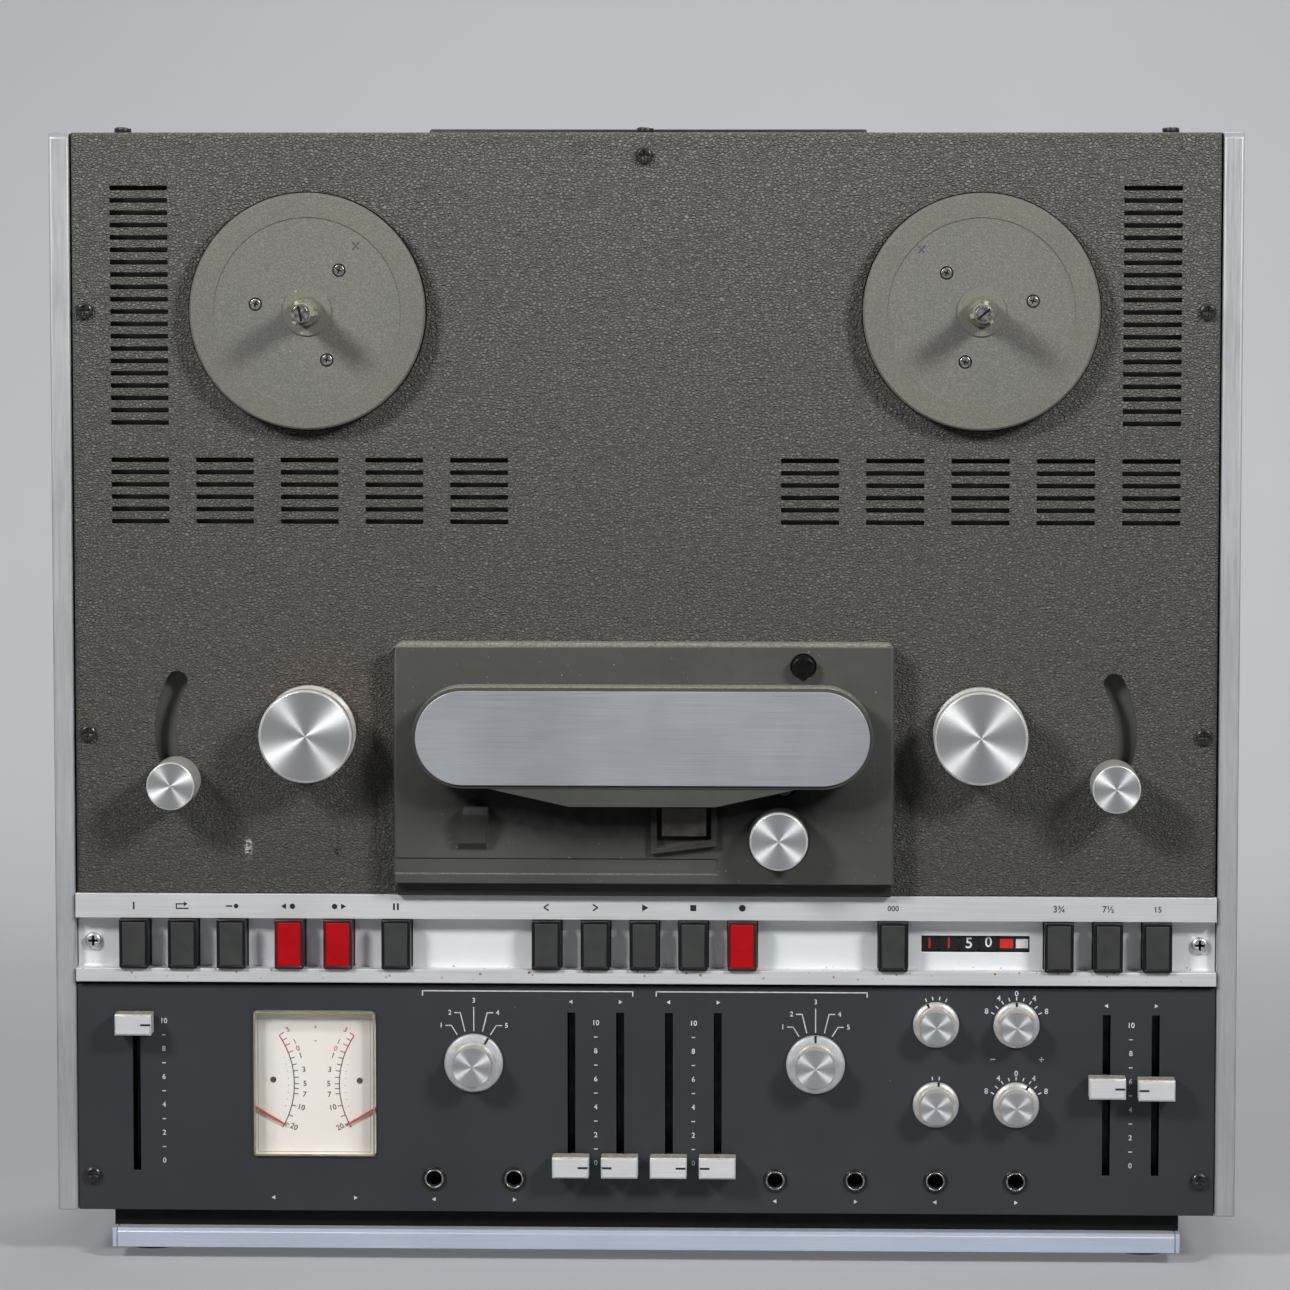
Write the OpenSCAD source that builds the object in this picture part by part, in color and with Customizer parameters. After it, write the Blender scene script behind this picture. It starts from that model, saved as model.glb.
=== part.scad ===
// Reel-to-reel tape recorder that stands upright: three motors, a mixing panel and a base rail.
// Lengths are in millimetres. The front faces -y, z is up, and the origin is on the floor
// under the middle of the whole machine. Most modules draw in face(): x to the right, y up,
// and z out of the deck face towards the viewer.

/* [Cabinet] */
// Width over the two side panels
overall_w = 483; // [476:1:510]
// Depth of the machine behind the deck face
body_depth = 145; // [138:1:180]
// Thickness of each side panel
side_t = 8.2; // [6:0.2:9]
// Bevel along the front edges of the side panels
side_bevel = 0.6; // [0.3:0.1:1]
// Bevel across the top front end of each side panel
side_end_bevel = 2; // [1:0.1:3]
// Thickness of the folded sheet metal
sheet_t = 1.5; // [1:0.1:2]
// Gap where two front panels meet
seam = 1.5; // [0.6:0.1:2]
// Depth of the mounting plane behind the deck face
mount_d = 8; // [7.5:0.5:10]
// Thickness of the chassis plate
chassis_t = 6; // [5:0.5:8]
// Reach of the rear sockets behind the rear cover
socket_reach = 3; // [2:0.5:5]

/* [Clearances] */
// Clearance between fixed pieces that fit into each other
fit_gap = 0.2; // [0.1:0.05:0.4]
// Radial running clearance of a shaft in its bearing
run_gap = 0.05; // [0.02:0.01:0.1]
// Clearance beside pieces that slide
slide_gap = 0.3; // [0.2:0.05:0.4]

/* [Base] */
// Height of the foot pads
pad_h = 4; // [3:0.5:6]
// Radius of the foot pads
pad_r = 12; // [8:0.5:16]
// Distance of the front pads' middles behind the plinth's front
pad_back = 26; // [20:1:40]
// Height of the plinth above its pads
plinth_h = 16.4; // [14:0.2:20]
// Wall of the plinth
plinth_wall = 2.5; // [2:0.5:4]
// Distance of the plinth's ends from the inside of the side panels
plinth_inset = 14.3; // [10:0.5:30]
// Height of the base rail
rail_h = 8; // [6:0.5:10]
// Depth of the base rail
rail_d = 8; // [6:0.5:12]
// Bevel along the rail's upper front edge
rail_bevel = 1.5; // [0.5:0.1:2.5]
// Thickness of the rail's end caps
rail_cap_t = 1.8; // [1:0.1:3]

/* [Deck cover] */
// Height of the deck cover
deck_h = 310; // [306:1:340]
// Gap between the deck cover and each side panel
deck_side_gap = 0.8; // [0.6:0.1:2.5]
// Rounding of the cover's outer front edges
deck_round = 2; // [0.8:0.1:2.4]
// Length of a vent slot
vent_l = 23.5; // [18:0.5:26]
// Height of a vent slot
vent_w = 1.9; // [1:0.1:2.5]
// Distance from one vent slot to the next
vent_pitch = 5; // [4:0.1:5.2]
// Distance from one group of vent slots to the next
vent_group_pitch = 34.5; // [30:0.5:36]
// Distance of the outermost vent slots from the cover's edge
vent_edge = 15.6; // [10:0.2:18]
// Drop of the top vent slot below the cover's top
vent_top_drop = 22.4; // [15:0.2:28]
// Drop of the lower vent rows below the cover's top
vent_row_drop = 132.6; // [128:0.2:140]

/* [Reels] */
// Distance of each reel axis from the middle
reel_x = 136; // [125:0.5:145]
// Drop of the reel axes below the cover's top
reel_drop = 72; // [66:0.5:76]
// Diameter of the reel table's disc
disc_d = 95.6; // [80:0.2:100]
// Thickness of the disc
disc_t = 5; // [4:0.5:7]
// Gap between the disc and the deck face
disc_gap = 4; // [2:0.5:6]
// Diameter of the groove in the disc
disc_groove_d = 75; // [60:0.5:78]
// Diameter of the hub ring in the middle of the disc
hub_d = 20; // [16:0.5:26]
// Diameter of the reel spindle
spindle_d = 7.9; // [7:0.1:8]
// Reach of the spindle in front of the disc
spindle_l = 31; // [24:0.5:36]
// Diameter of the motor shafts
shaft_d = 8; // [7:0.5:10]
// Radius of the circle of screws in the disc
disc_screw_r = 21.1; // [16:0.1:26]

/* [Tape guides] */
// Height of the tape guides above the deck cover's lower edge
path_rise = 67; // [66:0.5:70]
// Distance of each guide roller from the middle
roller_x = 136.3; // [132:0.1:140]
// Diameter of the guide rollers
roller_d = 38; // [30:0.5:40]
// Reach of the guide rollers in front of the deck
roller_reach = 24; // [20:0.5:28]
// Distance of each tension-arm pivot from the middle
tension_x = 153.8; // [152:0.1:156]
// Length of the tension arms, from pivot to post
tension_l = 42; // [38:0.5:44]
// Half of the angle that a tension arm sweeps
tension_half_angle = 28.5; // [20:0.5:30]
// Width of the curved slot in the deck
tension_slot_w = 8.3; // [7:0.1:9]
// Diameter of the tension-arm posts
tension_post_d = 6; // [5:0.1:6.4]
// Diameter of the tension-arm caps
tension_cap_d = 19.5; // [16:0.1:22]
// Reach of the tension-arm caps in front of the deck
tension_reach = 27; // [22:0.5:30]

/* [Head block] */
// Width of the head block
head_w = 203.2; // [195:0.2:206]
// Height of the head block
head_h = 98; // [95:0.5:102]
// Rise of the head block above the deck cover's lower edge
head_rise = 6; // [4:0.5:7]
// Depth of the head block
head_d = 12; // [11:0.5:14]
// Wall of the head block
head_wall = 3; // [2.5:0.1:3.5]
// Bevel along the head block's front edges
head_bevel = 1.2; // [0.8:0.1:2.4]
// Length of the head cover
cover_l = 186; // [180:0.5:190]
// Height of the head cover
cover_h = 41; // [38:0.5:42]
// Front of the head cover ahead of the deck
cover_front = 26.5; // [25:0.5:30]
// Wall of the head cover
cover_wall = 2.2; // [1.8:0.1:2.6]
// Thickness of the trim plate on the head cover
trim_t = 1.5; // [1:0.1:2]
// Width of the cover's rim round the trim plate
trim_rim = 1.4; // [0.8:0.1:2]
// Half of the visor's width at its top
visor_top_half = 69; // [60:0.5:72]
// Half of the visor's width at its bottom
visor_low_half = 29.5; // [25:0.5:40]
// Drop of the visor's lower edge below the tape-guide line
visor_drop = 27.9; // [25:0.1:28.2]
// Diameter of the cue button
cue_d = 9.6; // [7:0.1:11]
// Travel of the cue button
cue_travel = 3; // [2:0.5:3.5]

/* [Capstan and pinch roller] */
// Diameter of the capstan
capstan_d = 7; // [6:0.1:8]
// Diameter of the pinch roller
pinch_d = 25; // [22:0.2:26]
// Diameter of the pinch roller's cap
pinch_cap_d = 23.6; // [20:0.2:24]
// Distance of the pinch roller from the middle at rest
pinch_x = 55; // [52:0.5:58]
// Drop of the pinch roller below the tape-guide line at rest
pinch_drop = 41.6; // [41:0.2:43]
// Distance of the pinch arm's pivot from the middle
pinch_pivot_x = 88; // [86:0.5:90]
// Drop of the pinch arm's pivot below the tape-guide line
pinch_pivot_drop = 50; // [48:0.5:51]
// Angle that the pinch arm turns to meet the capstan
pinch_angle = 9.5; // [8:0.1:10]

/* [Transport strip] */
// Height of the transport strip
strip_h = 36.4; // [35:0.2:40]
// Height of the strip's lower lip
lip_low_h = 5.6; // [4.5:0.1:6]
// Height of the channel that the keys stand in
channel_h = 20.7; // [19:0.1:22]
// Reach of the strip's lips in front of the deck
lip_reach = 2; // [1:0.1:3]
// Depth of the channel's floor behind the deck face
channel_d = 6; // [5:0.1:6.4]
// Width of a key
key_w = 11.8; // [10:0.1:14]
// Height of a key
key_h = 20.1; // [16:0.1:20.3]
// Reach of the keys in front of the deck
key_reach = 4.2; // [3.6:0.1:6]
// Travel of the keys
key_travel = 3.5; // [2:0.1:3.6]
// Distance from one key to the next in a group
key_pitch = 20; // [18:0.1:21]
// Distance between keys of neighbouring groups
key_group_gap = 23.75; // [22:0.05:25]
// Distance of the outermost keys from the side panels
key_edge = 24.3; // [23:0.1:30]
// Width of the counter window
counter_w = 44.2; // [36:0.2:46]
// Height of the counter window
counter_h = 6.8; // [5:0.1:9]

/* [Control panel] */
// Height of the control panel
panel_h = 93.7; // [92:0.1:104]
// Thickness of the control panel
panel_t = 2; // [1.5:0.1:2.5]
// Depth of the panel's face behind the deck face
panel_set = 1.5; // [0.5:0.1:2]
// Distance of the outermost faders from the side panels
fader_edge = 24.5; // [23:0.1:27]
// Distance from one fader to the next
fader_pitch = 20; // [17:0.1:21]
// Height of the faders' lowest position above the panel's bottom
fader_zero = 20.5; // [17:0.1:21]
// Travel of the faders
fader_travel = 58; // [50:0.5:60]
// Width of the fader slots
fader_slot_w = 3.2; // [3:0.1:4]
// Width of a fader knob
fader_knob_w = 14.9; // [12:0.1:16]
// Height of a fader knob
fader_knob_h = 8.7; // [7:0.1:10]
// Depth of a fader knob
fader_knob_d = 10; // [8:0.1:12]
// Distance of the input selectors inwards from the middle between the outermost and the input faders
selector_in = 49.4; // [47:0.1:51]
// Height of the selectors above the panel's bottom
selector_rise = 61.9; // [60:0.1:64]
// Diameter of a selector's skirt
selector_d = 24.1; // [20:0.1:26]
// Diameter of a small knob's skirt
knob_d = 18.8; // [16:0.1:22]
// Diameter of the knob shafts
knob_shaft_d = 6; // [5:0.1:6.35]
// Height of the upper small knobs above the panel's bottom
knob_rise = 78.6; // [76:0.1:80]
// Drop from the upper to the lower small knobs
knob_drop = 33; // [30:0.1:34]
// Distance from one jack to the next
jack_pitch = 32.8; // [32:0.1:33.5]
// Height of the jacks above the panel's bottom
jack_rise = 13.7; // [12.5:0.1:15]
// Bore of a jack
jack_bore_d = 6.4; // [6.35:0.05:6.5]
// Diameter of a jack's ring
jack_ring_d = 9.6; // [9:0.1:11]

/* [Level meter] */
// Distance from the left selector to the meter's middle
meter_gap = 65.5; // [65:0.1:68]
// Height of the meter's middle above the panel's bottom
meter_rise = 52.9; // [51:0.1:54]
// Width of the meter window
meter_w = 50; // [44:0.2:54]
// Height of the meter window
meter_h = 60; // [52:0.2:62]
// Distance of each needle's pivot from the meter's middle
needle_pivot_x = 44.4; // [43.5:0.1:45]
// Length of a needle from its pivot
needle_l = 37; // [30:0.5:38]
// Angle of a resting needle below the horizontal
needle_rest_angle = 30; // [20:1:35]

/* [Handle] */
// Width of the carrying handle
handle_w = 180; // [150:1:190]
// Thickness of the handle
handle_t = 7.5; // [6:0.5:8.5]
// Width of the handle's grip and arms
handle_bar = 10; // [8:0.5:12]
// Distance from the handle's pivot to the front of its grip
handle_l = 30; // [26:0.5:32]
// Rise of the folded handle above the cabinet's top
handle_proud = 1.5; // [0.5:0.1:2]

/* [Hidden] */
$fn = 72;
eps = 0.01;

// Heights of the front panels, from the floor up
half_w = overall_w / 2;
inner_half = half_w - side_t;
base_z = pad_h + plinth_h;
panel_top = base_z + panel_h;
strip_z = panel_top + seam;
strip_top = strip_z + strip_h;
deck_z = strip_top + slide_gap;
top_z = strip_top + deck_h;
deck_half = inner_half - deck_side_gap;
front_half = inner_half - slide_gap;

// Depths, counted out of the deck face
disc_front = disc_gap + disc_t;
spindle_tip = disc_front + spindle_l;
deck_y = -(body_depth - spindle_tip) / 2;
back_w = body_depth - socket_reach;
cabinet_back = back_w - sheet_t;
chassis_back = mount_d + chassis_t;
panel_back = panel_set + panel_t;

// Places on the deck
reel_z = top_z - reel_drop;
path_z = strip_top + path_rise;
head_z = strip_top + head_rise;
head_top = head_z + head_h;
trim_front = cover_front + trim_t;
path_drop = 29.2;
path_low = path_z - path_drop;
low_screw_z = path_z - 1.3;
top_screw_drop = 9.3;
edge_screw_in = 5.2;
disc_screw_turn = 52;
disc_screw_turn_right = 12;
// Turns of the spindles' lugs and of the slots in their tips at rest
lug_turn_left = -5;
lug_turn_right = 75;
slot_turn_left = 12;
slot_turn_right = -50;

// Bearings and drums behind the deck
bearing_boss_r = 9;
bearing_boss_l = 8;
drum_r = 30;
drum_t = 8;
drum_gap = 2;
motor_r = 42;
motor_l = 52;
motor_gap = 3;
motor_front = chassis_back + drum_gap + drum_t + motor_gap;
shaft_end = motor_front + 0.8 * motor_l;
pillar_r = 3.5;
pillar_circle = 37;
flywheel_r = 33;

// Tension arms
arm_t = 3;
arm_half = 6;
arm_w0 = -(sheet_t + mount_d) / 2 - arm_t / 2;
arm_w1 = arm_w0 + arm_t;
tension_pin_r = 2.5;
tension_base = 3;

// Pinch arm, its engaged place, and the capstan straight above that
pinch_z = path_z - pinch_drop;
pivot_z = path_z - pinch_pivot_drop;
pinch_arm_l = norm([pinch_x - pinch_pivot_x, pinch_z - pivot_z]);
pinch_rest_angle = atan2(pinch_z - pivot_z, pinch_x - pinch_pivot_x);
pinch_meet_angle = pinch_rest_angle - pinch_angle;
pinch_meet_x = pinch_pivot_x + pinch_arm_l * cos(pinch_meet_angle);
pinch_meet_z = pivot_z + pinch_arm_l * sin(pinch_meet_angle);
capstan_x = pinch_meet_x;
capstan_z = pinch_meet_z + pinch_d / 2 + capstan_d / 2 + fit_gap;
pinch_axle_r = 3;
pinch_pin_r = 3;
pinch_base = head_d + 2;
pinch_top = cover_front - 1;
pinch_cap_top = cover_front + 1;
pinch_hole_r = pinch_axle_r + 1.2 + pinch_arm_l * sin(pinch_angle / 2);

pinch_arm_w0 = -3;
pinch_arm_w1 = 2;
pinch_arm_half = 7;
pinch_collar = 0.8;

// Erase, record and playback heads: place and width of each, and their common sizes
HEADS = [[-46, 12], [-14, 14], [16.5, 14]];
head_face_z = capstan_z - capstan_d / 2 + 0.4;
head_nose_r = 9;
head_shoulder = 5;
head_l = 15;
head_reach = 10;
shield_t = 1.5;
shield_x0 = 5.5;
shield_x1 = 27.5;
shield_drop0 = 46;
shield_drop1 = 42.6;

// Tape guide wedge: its foot, its bend and its reach out of the head block, and its two leaning sides
guide_foot = 48;
guide_bend = 44;
guide_reach = 9;
guide_left = -76;
guide_right = -63.7;
guide_lean_left = 3.4;
guide_lean_right = 1;

// Cue button: distance in from the head block's right end and down from its top
cue_in = 36.9;
cue_drop = 9.1;

// Core of the mains transformer
core_w = 78;
core_h = 66;
core_l = 58;

// Keys: name and place along the strip
key_z = strip_z + lip_low_h + channel_h / 2;
key_left = -(inner_half - key_edge);
key_pause = key_left + 3 * key_pitch + 2 * key_group_gap;
KEYS = [
    ["power_button", key_left],
    ["repeat_button", key_left + key_pitch],
    ["auto_button", key_left + 2 * key_pitch],
    ["left_record_button", key_left + 2 * key_pitch + key_group_gap],
    ["right_record_button", key_left + 3 * key_pitch + key_group_gap],
    ["pause_button", key_pause],
    ["rewind_button", -2 * key_pitch],
    ["forward_button", -key_pitch],
    ["play_button", 0],
    ["stop_button", key_pitch],
    ["record_button", 2 * key_pitch],
    ["counter_reset_button", -key_pause],
    ["low_speed_button", -key_left - 2 * key_pitch],
    ["middle_speed_button", -key_left - key_pitch],
    ["high_speed_button", -key_left]
];
RED_KEYS = ["left_record_button", "right_record_button", "record_button"];
counter_x = (-key_pause - key_left - 2 * key_pitch) / 2;
key_depth = 14;
stem_w = 6;
stem_h = 8;
stem_l = 12;
switch_w = 10;
switch_h = 17;
switch_front = channel_d + sheet_t + key_depth - (channel_d + key_reach) + key_travel + 1;
switch_l = 12;
board_t = 1.6;
key_board_w = switch_front + switch_l;

// Faders: name, place along the panel and how far up the scale each one stands
fader_outer = inner_half - fader_edge;
FADERS = [
    ["record_fader", -fader_outer, 1],
    ["input_1_fader", -1.5 * fader_pitch, 0],
    ["input_2_fader", -0.5 * fader_pitch, 0],
    ["input_3_fader", 0.5 * fader_pitch, 0],
    ["input_4_fader", 1.5 * fader_pitch, 0],
    ["left_volume_fader", fader_outer - fader_pitch, 0.58],
    ["right_volume_fader", fader_outer, 0.57]
];
fader_z0 = base_z + fader_zero;
fader_stand = 2;
lever_h = 6;
lever_end = 16;
lever_w = fader_slot_w - 2 * slide_gap;
fader_body_w = 11;
fader_body_end = 20;
fader_slot_over = 1.2;

// Rotary controls: name, place, height, skirt diameter and pointer angle
selector_x = (fader_outer + 1.5 * fader_pitch) / 2 - selector_in;
jack_x = selector_x - jack_pitch / 2;
small_x = jack_x + 2 * jack_pitch;
small_z = base_z + knob_rise;
selector_ledge = 3.9;
knob_ledge = 2.5;
KNOBS = [
    ["left_selector", -selector_x, base_z + selector_rise, selector_d, 30, selector_ledge],
    ["right_selector", selector_x, base_z + selector_rise, selector_d, 0, selector_ledge],
    ["mode_knob", small_x, small_z, knob_d, -22.5, knob_ledge],
    ["treble_knob", small_x + jack_pitch, small_z, knob_d, 0, knob_ledge],
    ["monitor_knob", small_x, small_z - knob_drop, knob_d, 7.5, knob_ledge],
    ["bass_knob", small_x + jack_pitch, small_z - knob_drop, knob_d, 32, knob_ledge]
];
knob_edge = 0.25;
knob_stand = 0.5;
knob_skirt_t = 2.2;
knob_bush_r = knob_shaft_d / 2 + 2;
knob_shaft_end = 16;
rotary_end = 20;
pointer_w = 0.6;

// Jacks along the panel
jack_z = base_z + jack_rise;
jack_xs = [
    -(jack_x + jack_pitch), -jack_x, jack_x, jack_x + jack_pitch, small_x, small_x + jack_pitch
];
jack_bush_r = jack_ring_d / 2 - 0.4;
jack_body = 11;
jack_end = 26;
jack_bore_end = 22;
jack_proud = 1;

// Level meter
meter_x = selector_x + meter_gap;
meter_z = base_z + meter_rise;
meter_case_half = needle_pivot_x + 4.1;
meter_case_h = meter_h + 5;
meter_end = 30;
dial_w = 9;
needle_w0 = -8.2;
needle_t = 0.6;
needle_hub_r = 2.6;
needle_pin_r = 1;
window_front = 0;
window_t = 1.6;
window_round = 2;

// Handle and its pocket in the cabinet's top
pocket_half = handle_w / 2 + slide_gap;
pocket_d = 10.5;
pocket_floor = top_z - pocket_d;
handle_top = top_z + handle_proud;
handle_pin_r = 2;
handle_pivot_z = top_z - 3.5;
handle_pivot_w = -76;
handle_tail = 3;
pocket_back = handle_pivot_w - 9;
pocket_front = handle_pivot_w + handle_l + 6;

// Screws
screw_r = 3.45;
screw_head_t = 2.2;
screw_shank_r = 1.5;
screw_hole_r = screw_shank_r + fit_gap;
screw_l = 9;
strip_screw_x = inner_half - 6.7;
panel_screw_x = inner_half - 6.3;
panel_screw_z = base_z + 14.5;
top_screw_x = inner_half - 20.8;
top_screw_w = mount_d + chassis_t / 2;
rear_lug = 10;
DECK_SCREWS = [
    [0, top_z - top_screw_drop],
    for (s = [-1, 1]) each [[s * (deck_half - edge_screw_in), reel_z],
                            [s * (deck_half - edge_screw_in), low_screw_z]]
];
lug_in = sheet_t + rear_lug / 2;
REAR_SCREWS = [for (x = [-1, 1], z = [base_z + lug_in, (base_z + top_z) / 2, top_z - lug_in])
    [x * (inner_half - lug_in), z]];

// Rear vents, sockets and mains inlet
rear_vent_rise = 260;
rear_socket_rise = 60;
rear_socket_z = base_z + rear_socket_rise;
rear_socket_r = 4.2;
rear_socket_l = 12;
rear_hole_l = 8;
rear_socket_pitch = 20;
rear_socket_x = 60;
inlet_x = -150;
inlet_z = rear_socket_z;
inlet_w = 27;
inlet_h = 20;
inlet_l = 22;
inlet_flange = 4;
inlet_wall = 2;
inlet_floor = 4;
blade_pitch = 7;
blade_w = 2;
blade_h = 5;
REAR_SOCKETS = [for (i = [0:3], j = [0:1])
    [rear_socket_x + i * rear_socket_pitch, rear_socket_z + j * rear_socket_pitch]];

// Draws in the deck face: x right, y up, z out towards the viewer
module face() {
    translate([0, deck_y, 0]) rotate([90, 0, 0]) children();
}

// Extrudes a face drawing from depth w0 to depth w1
module slab(w0, w1) {
    translate([0, 0, w0]) linear_extrude(w1 - w0) children();
}

// Flat rectangle between two corners
module rect(u0, v0, u1, v1) {
    translate([u0, v0]) square([u1 - u0, v1 - v0]);
}

// Rectangle with round corners, about its middle
module round_rect(w, h, r) {
    square([w - 2 * r, h], center = true);
    square([w, h - 2 * r], center = true);
    for (x = [-1, 1], y = [-1, 1]) translate([x * (w / 2 - r), y * (h / 2 - r)]) circle(r);
}

// Bar with half-round ends, about its middle
module stadium(w, h) {
    square([w - h, h], center = true);
    for (s = [-1, 1]) translate([s * (w - h) / 2, 0]) circle(h / 2);
}

// Curved slot of one width about the origin, with round ends
module arc_slot(r, w, mid, half) {
    far = 2 * r;
    intersection() {
        difference() {
            circle(r + w / 2);
            circle(r - w / 2);
        }
        polygon([[0, 0], for (t = [-1, 0, 1]) far * [cos(mid + t * half), sin(mid + t * half)]]);
    }
    for (t = [-1, 1]) rotate(mid + t * half) translate([r, 0]) circle(w / 2);
}

// Straight bar between two points, with round ends
module link(a, b, half) {
    d = b - a;
    translate(a) circle(half);
    translate(b) circle(half);
    translate(a) rotate(atan2(d[1], d[0])) translate([0, -half]) square([norm(d), 2 * half]);
}

// Round pin out of the face at a place
module pin(u, v, r, w0, w1) {
    translate([u, v, w0]) cylinder(r = r, h = w1 - w0);
}

module cabinet_shell() {
    mid = (base_z + top_z) / 2;
    height = top_z - base_z;
    color("dimgray") face() difference() {
        union() {
            slab(-cabinet_back, -mount_d) translate([0, mid]) difference() {
                square([2 * inner_half, height], center = true);
                square([2 * (inner_half - sheet_t), height - 2 * sheet_t], center = true);
            }
            slab(-cabinet_back, -cabinet_back + rear_lug) for (p = REAR_SCREWS) translate(p)
                square(rear_lug + eps, center = true);
            slab(pocket_back - sheet_t, pocket_front + sheet_t)
                rect(-pocket_half - sheet_t, pocket_floor - sheet_t, pocket_half + sheet_t, top_z);
        }
        slab(pocket_back, pocket_front) rect(-pocket_half, pocket_floor, pocket_half, top_z + 1);
        translate([0, handle_pivot_z, handle_pivot_w]) rotate([0, 90, 0])
            cylinder(r = handle_pin_r + run_gap, h = 2 * pocket_half + 4 * sheet_t, center = true);
        rear_screw_holes();
        for (x = [-1, 0, 1]) translate([x * top_screw_x, top_z, -top_screw_w]) rotate([90, 0, 0])
            cylinder(r = screw_hole_r, h = 4 * sheet_t, center = true);
    }
}

module rear_cover() {
    vent_count = 12;
    vent_half = 150;
    vent_step = 10;
    vent_z = base_z + rear_vent_rise;
    color("dimgray") face() difference() {
        slab(-back_w, -cabinet_back) rect(-inner_half, base_z, inner_half, top_z);
        for (i = [0:vent_count - 1], s = [-1, 1])
            translate([s * vent_half / 2, vent_z + i * vent_step, -back_w - 1])
                linear_extrude(sheet_t + 2) stadium(vent_half * 0.8, 4);
        rear_screw_holes();
        for (p = REAR_SOCKETS) pin(p[0], p[1], rear_socket_r + fit_gap, -back_w - 1, -cabinet_back + 1);
        translate([inlet_x, inlet_z, -back_w - 1]) linear_extrude(sheet_t + 2)
            square([inlet_w + 2 * fit_gap, inlet_h + 2 * fit_gap], center = true);
    }
}

module side_panels() {
    y0 = deck_y;
    y1 = deck_y + back_w;
    b = side_bevel;
    end = side_end_bevel * sqrt(2);
    color("silver") for (s = [-1, 1]) difference() {
        translate([0, 0, base_z]) linear_extrude(top_z - base_z)
            translate([s * (half_w - side_t / 2), 0]) polygon([
                [-side_t / 2, y1], [-side_t / 2, y0 + b], [-side_t / 2 + b, y0],
                [side_t / 2 - b, y0], [side_t / 2, y0 + b], [side_t / 2, y1]
            ]);
        translate([s * half_w, y0, top_z]) rotate([45, 0, 0]) cube([3 * side_t, end, end], center = true);
    }
}

module chassis_frame() {
    half = inner_half - sheet_t - fit_gap;
    low = base_z + sheet_t + fit_gap;
    high = top_z - sheet_t - fit_gap;
    pillar_half = deck_half - sheet_t - fit_gap;
    key_half = inner_half - key_edge + key_w;
    panel_half = fader_outer + fader_body_w / 2 + 2;
    floor_z = strip_z + sheet_t + 1;
    color("lightsteelblue") face() difference() {
        union() {
            slab(-chassis_back, -mount_d) difference() {
                rect(-half, low, half, high);
                rect(-key_half, floor_z, key_half, strip_top - sheet_t - 1);
                rect(-panel_half, low + 3, panel_half, panel_top - sheet_t - 1.5);
            }
            for (p = DECK_SCREWS) intersection() {
                pin(p[0], p[1], 4, -chassis_back, -sheet_t);
                slab(-chassis_back, -sheet_t) rect(-pillar_half, low, pillar_half, high);
            }
            for (s = [-1, 1]) {
                pin(s * roller_x, path_z, bearing_boss_r, -chassis_back - bearing_boss_l, -mount_d);
                pin(s * tension_x, path_z, tension_pin_r, -chassis_back, arm_w1 + 0.5);
                pin(s * panel_screw_x, panel_screw_z, 4, -chassis_back, -panel_back);
                pin(s * strip_screw_x, key_z, 4, -chassis_back, -channel_d - sheet_t);
            }
            pin(pinch_pivot_x, pivot_z, pinch_pin_r, -chassis_back, 3);
        }
        for (s = [-1, 1]) {
            pin(s * reel_x, reel_z, shaft_d / 2 + run_gap, -chassis_back - 1, 0);
            pin(s * roller_x, path_z, shaft_d / 2 + run_gap, -chassis_back - bearing_boss_l - 1, 0);
        }
        pin(capstan_x, capstan_z, capstan_d / 2 + run_gap, -chassis_back - 1, 0);
        screw_holes();
        for (x = [-1, 0, 1]) translate([x * top_screw_x, high, -top_screw_w]) rotate([90, 0, 0])
            cylinder(r = screw_hole_r, h = 3 * screw_l, center = true);
    }
}

// Holes for the screws that go in from the front
module screw_holes() {
    for (p = DECK_SCREWS) pin(p[0], p[1], screw_hole_r, -2 * mount_d, 1);
    for (s = [-1, 1]) {
        pin(s * strip_screw_x, key_z, screw_hole_r, -2 * mount_d - 2, 1);
        pin(s * panel_screw_x, panel_screw_z, screw_hole_r, -2 * mount_d, 1);
    }
}

// Holes for the screws that hold the rear cover
module rear_screw_holes() {
    for (p = REAR_SCREWS) pin(p[0], p[1], screw_hole_r, -back_w - 1, -back_w + screw_l + 1);
}

// One vent slot about its middle
module vent() {
    translate([-vent_l / 2, -vent_w / 2]) square([vent_l, vent_w]);
}

module vents() {
    column_count = 20;
    row_count = 6;
    group_count = 5;
    outer = deck_half - vent_edge - vent_l / 2;
    for (s = [-1, 1]) {
        for (i = [0:column_count - 1])
            translate([s * outer, top_z - vent_top_drop - i * vent_pitch]) vent();
        for (i = [0:row_count - 1], g = [0:group_count - 1])
            translate([s * (outer - g * vent_group_pitch), top_z - vent_row_drop - i * vent_pitch]) vent();
    }
}

// Removes the sharp corner along a straight edge, which runs along z at the origin
module edge_round(l, r) {
    linear_extrude(l) difference() {
        translate([-r, -r]) square([2 * r, 2 * r]);
        translate([-r, -r]) circle(r);
        translate([-2 * r, -2 * r]) square([r, 3 * r]);
        translate([-2 * r, -2 * r]) square([3 * r, r]);
    }
}

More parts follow.
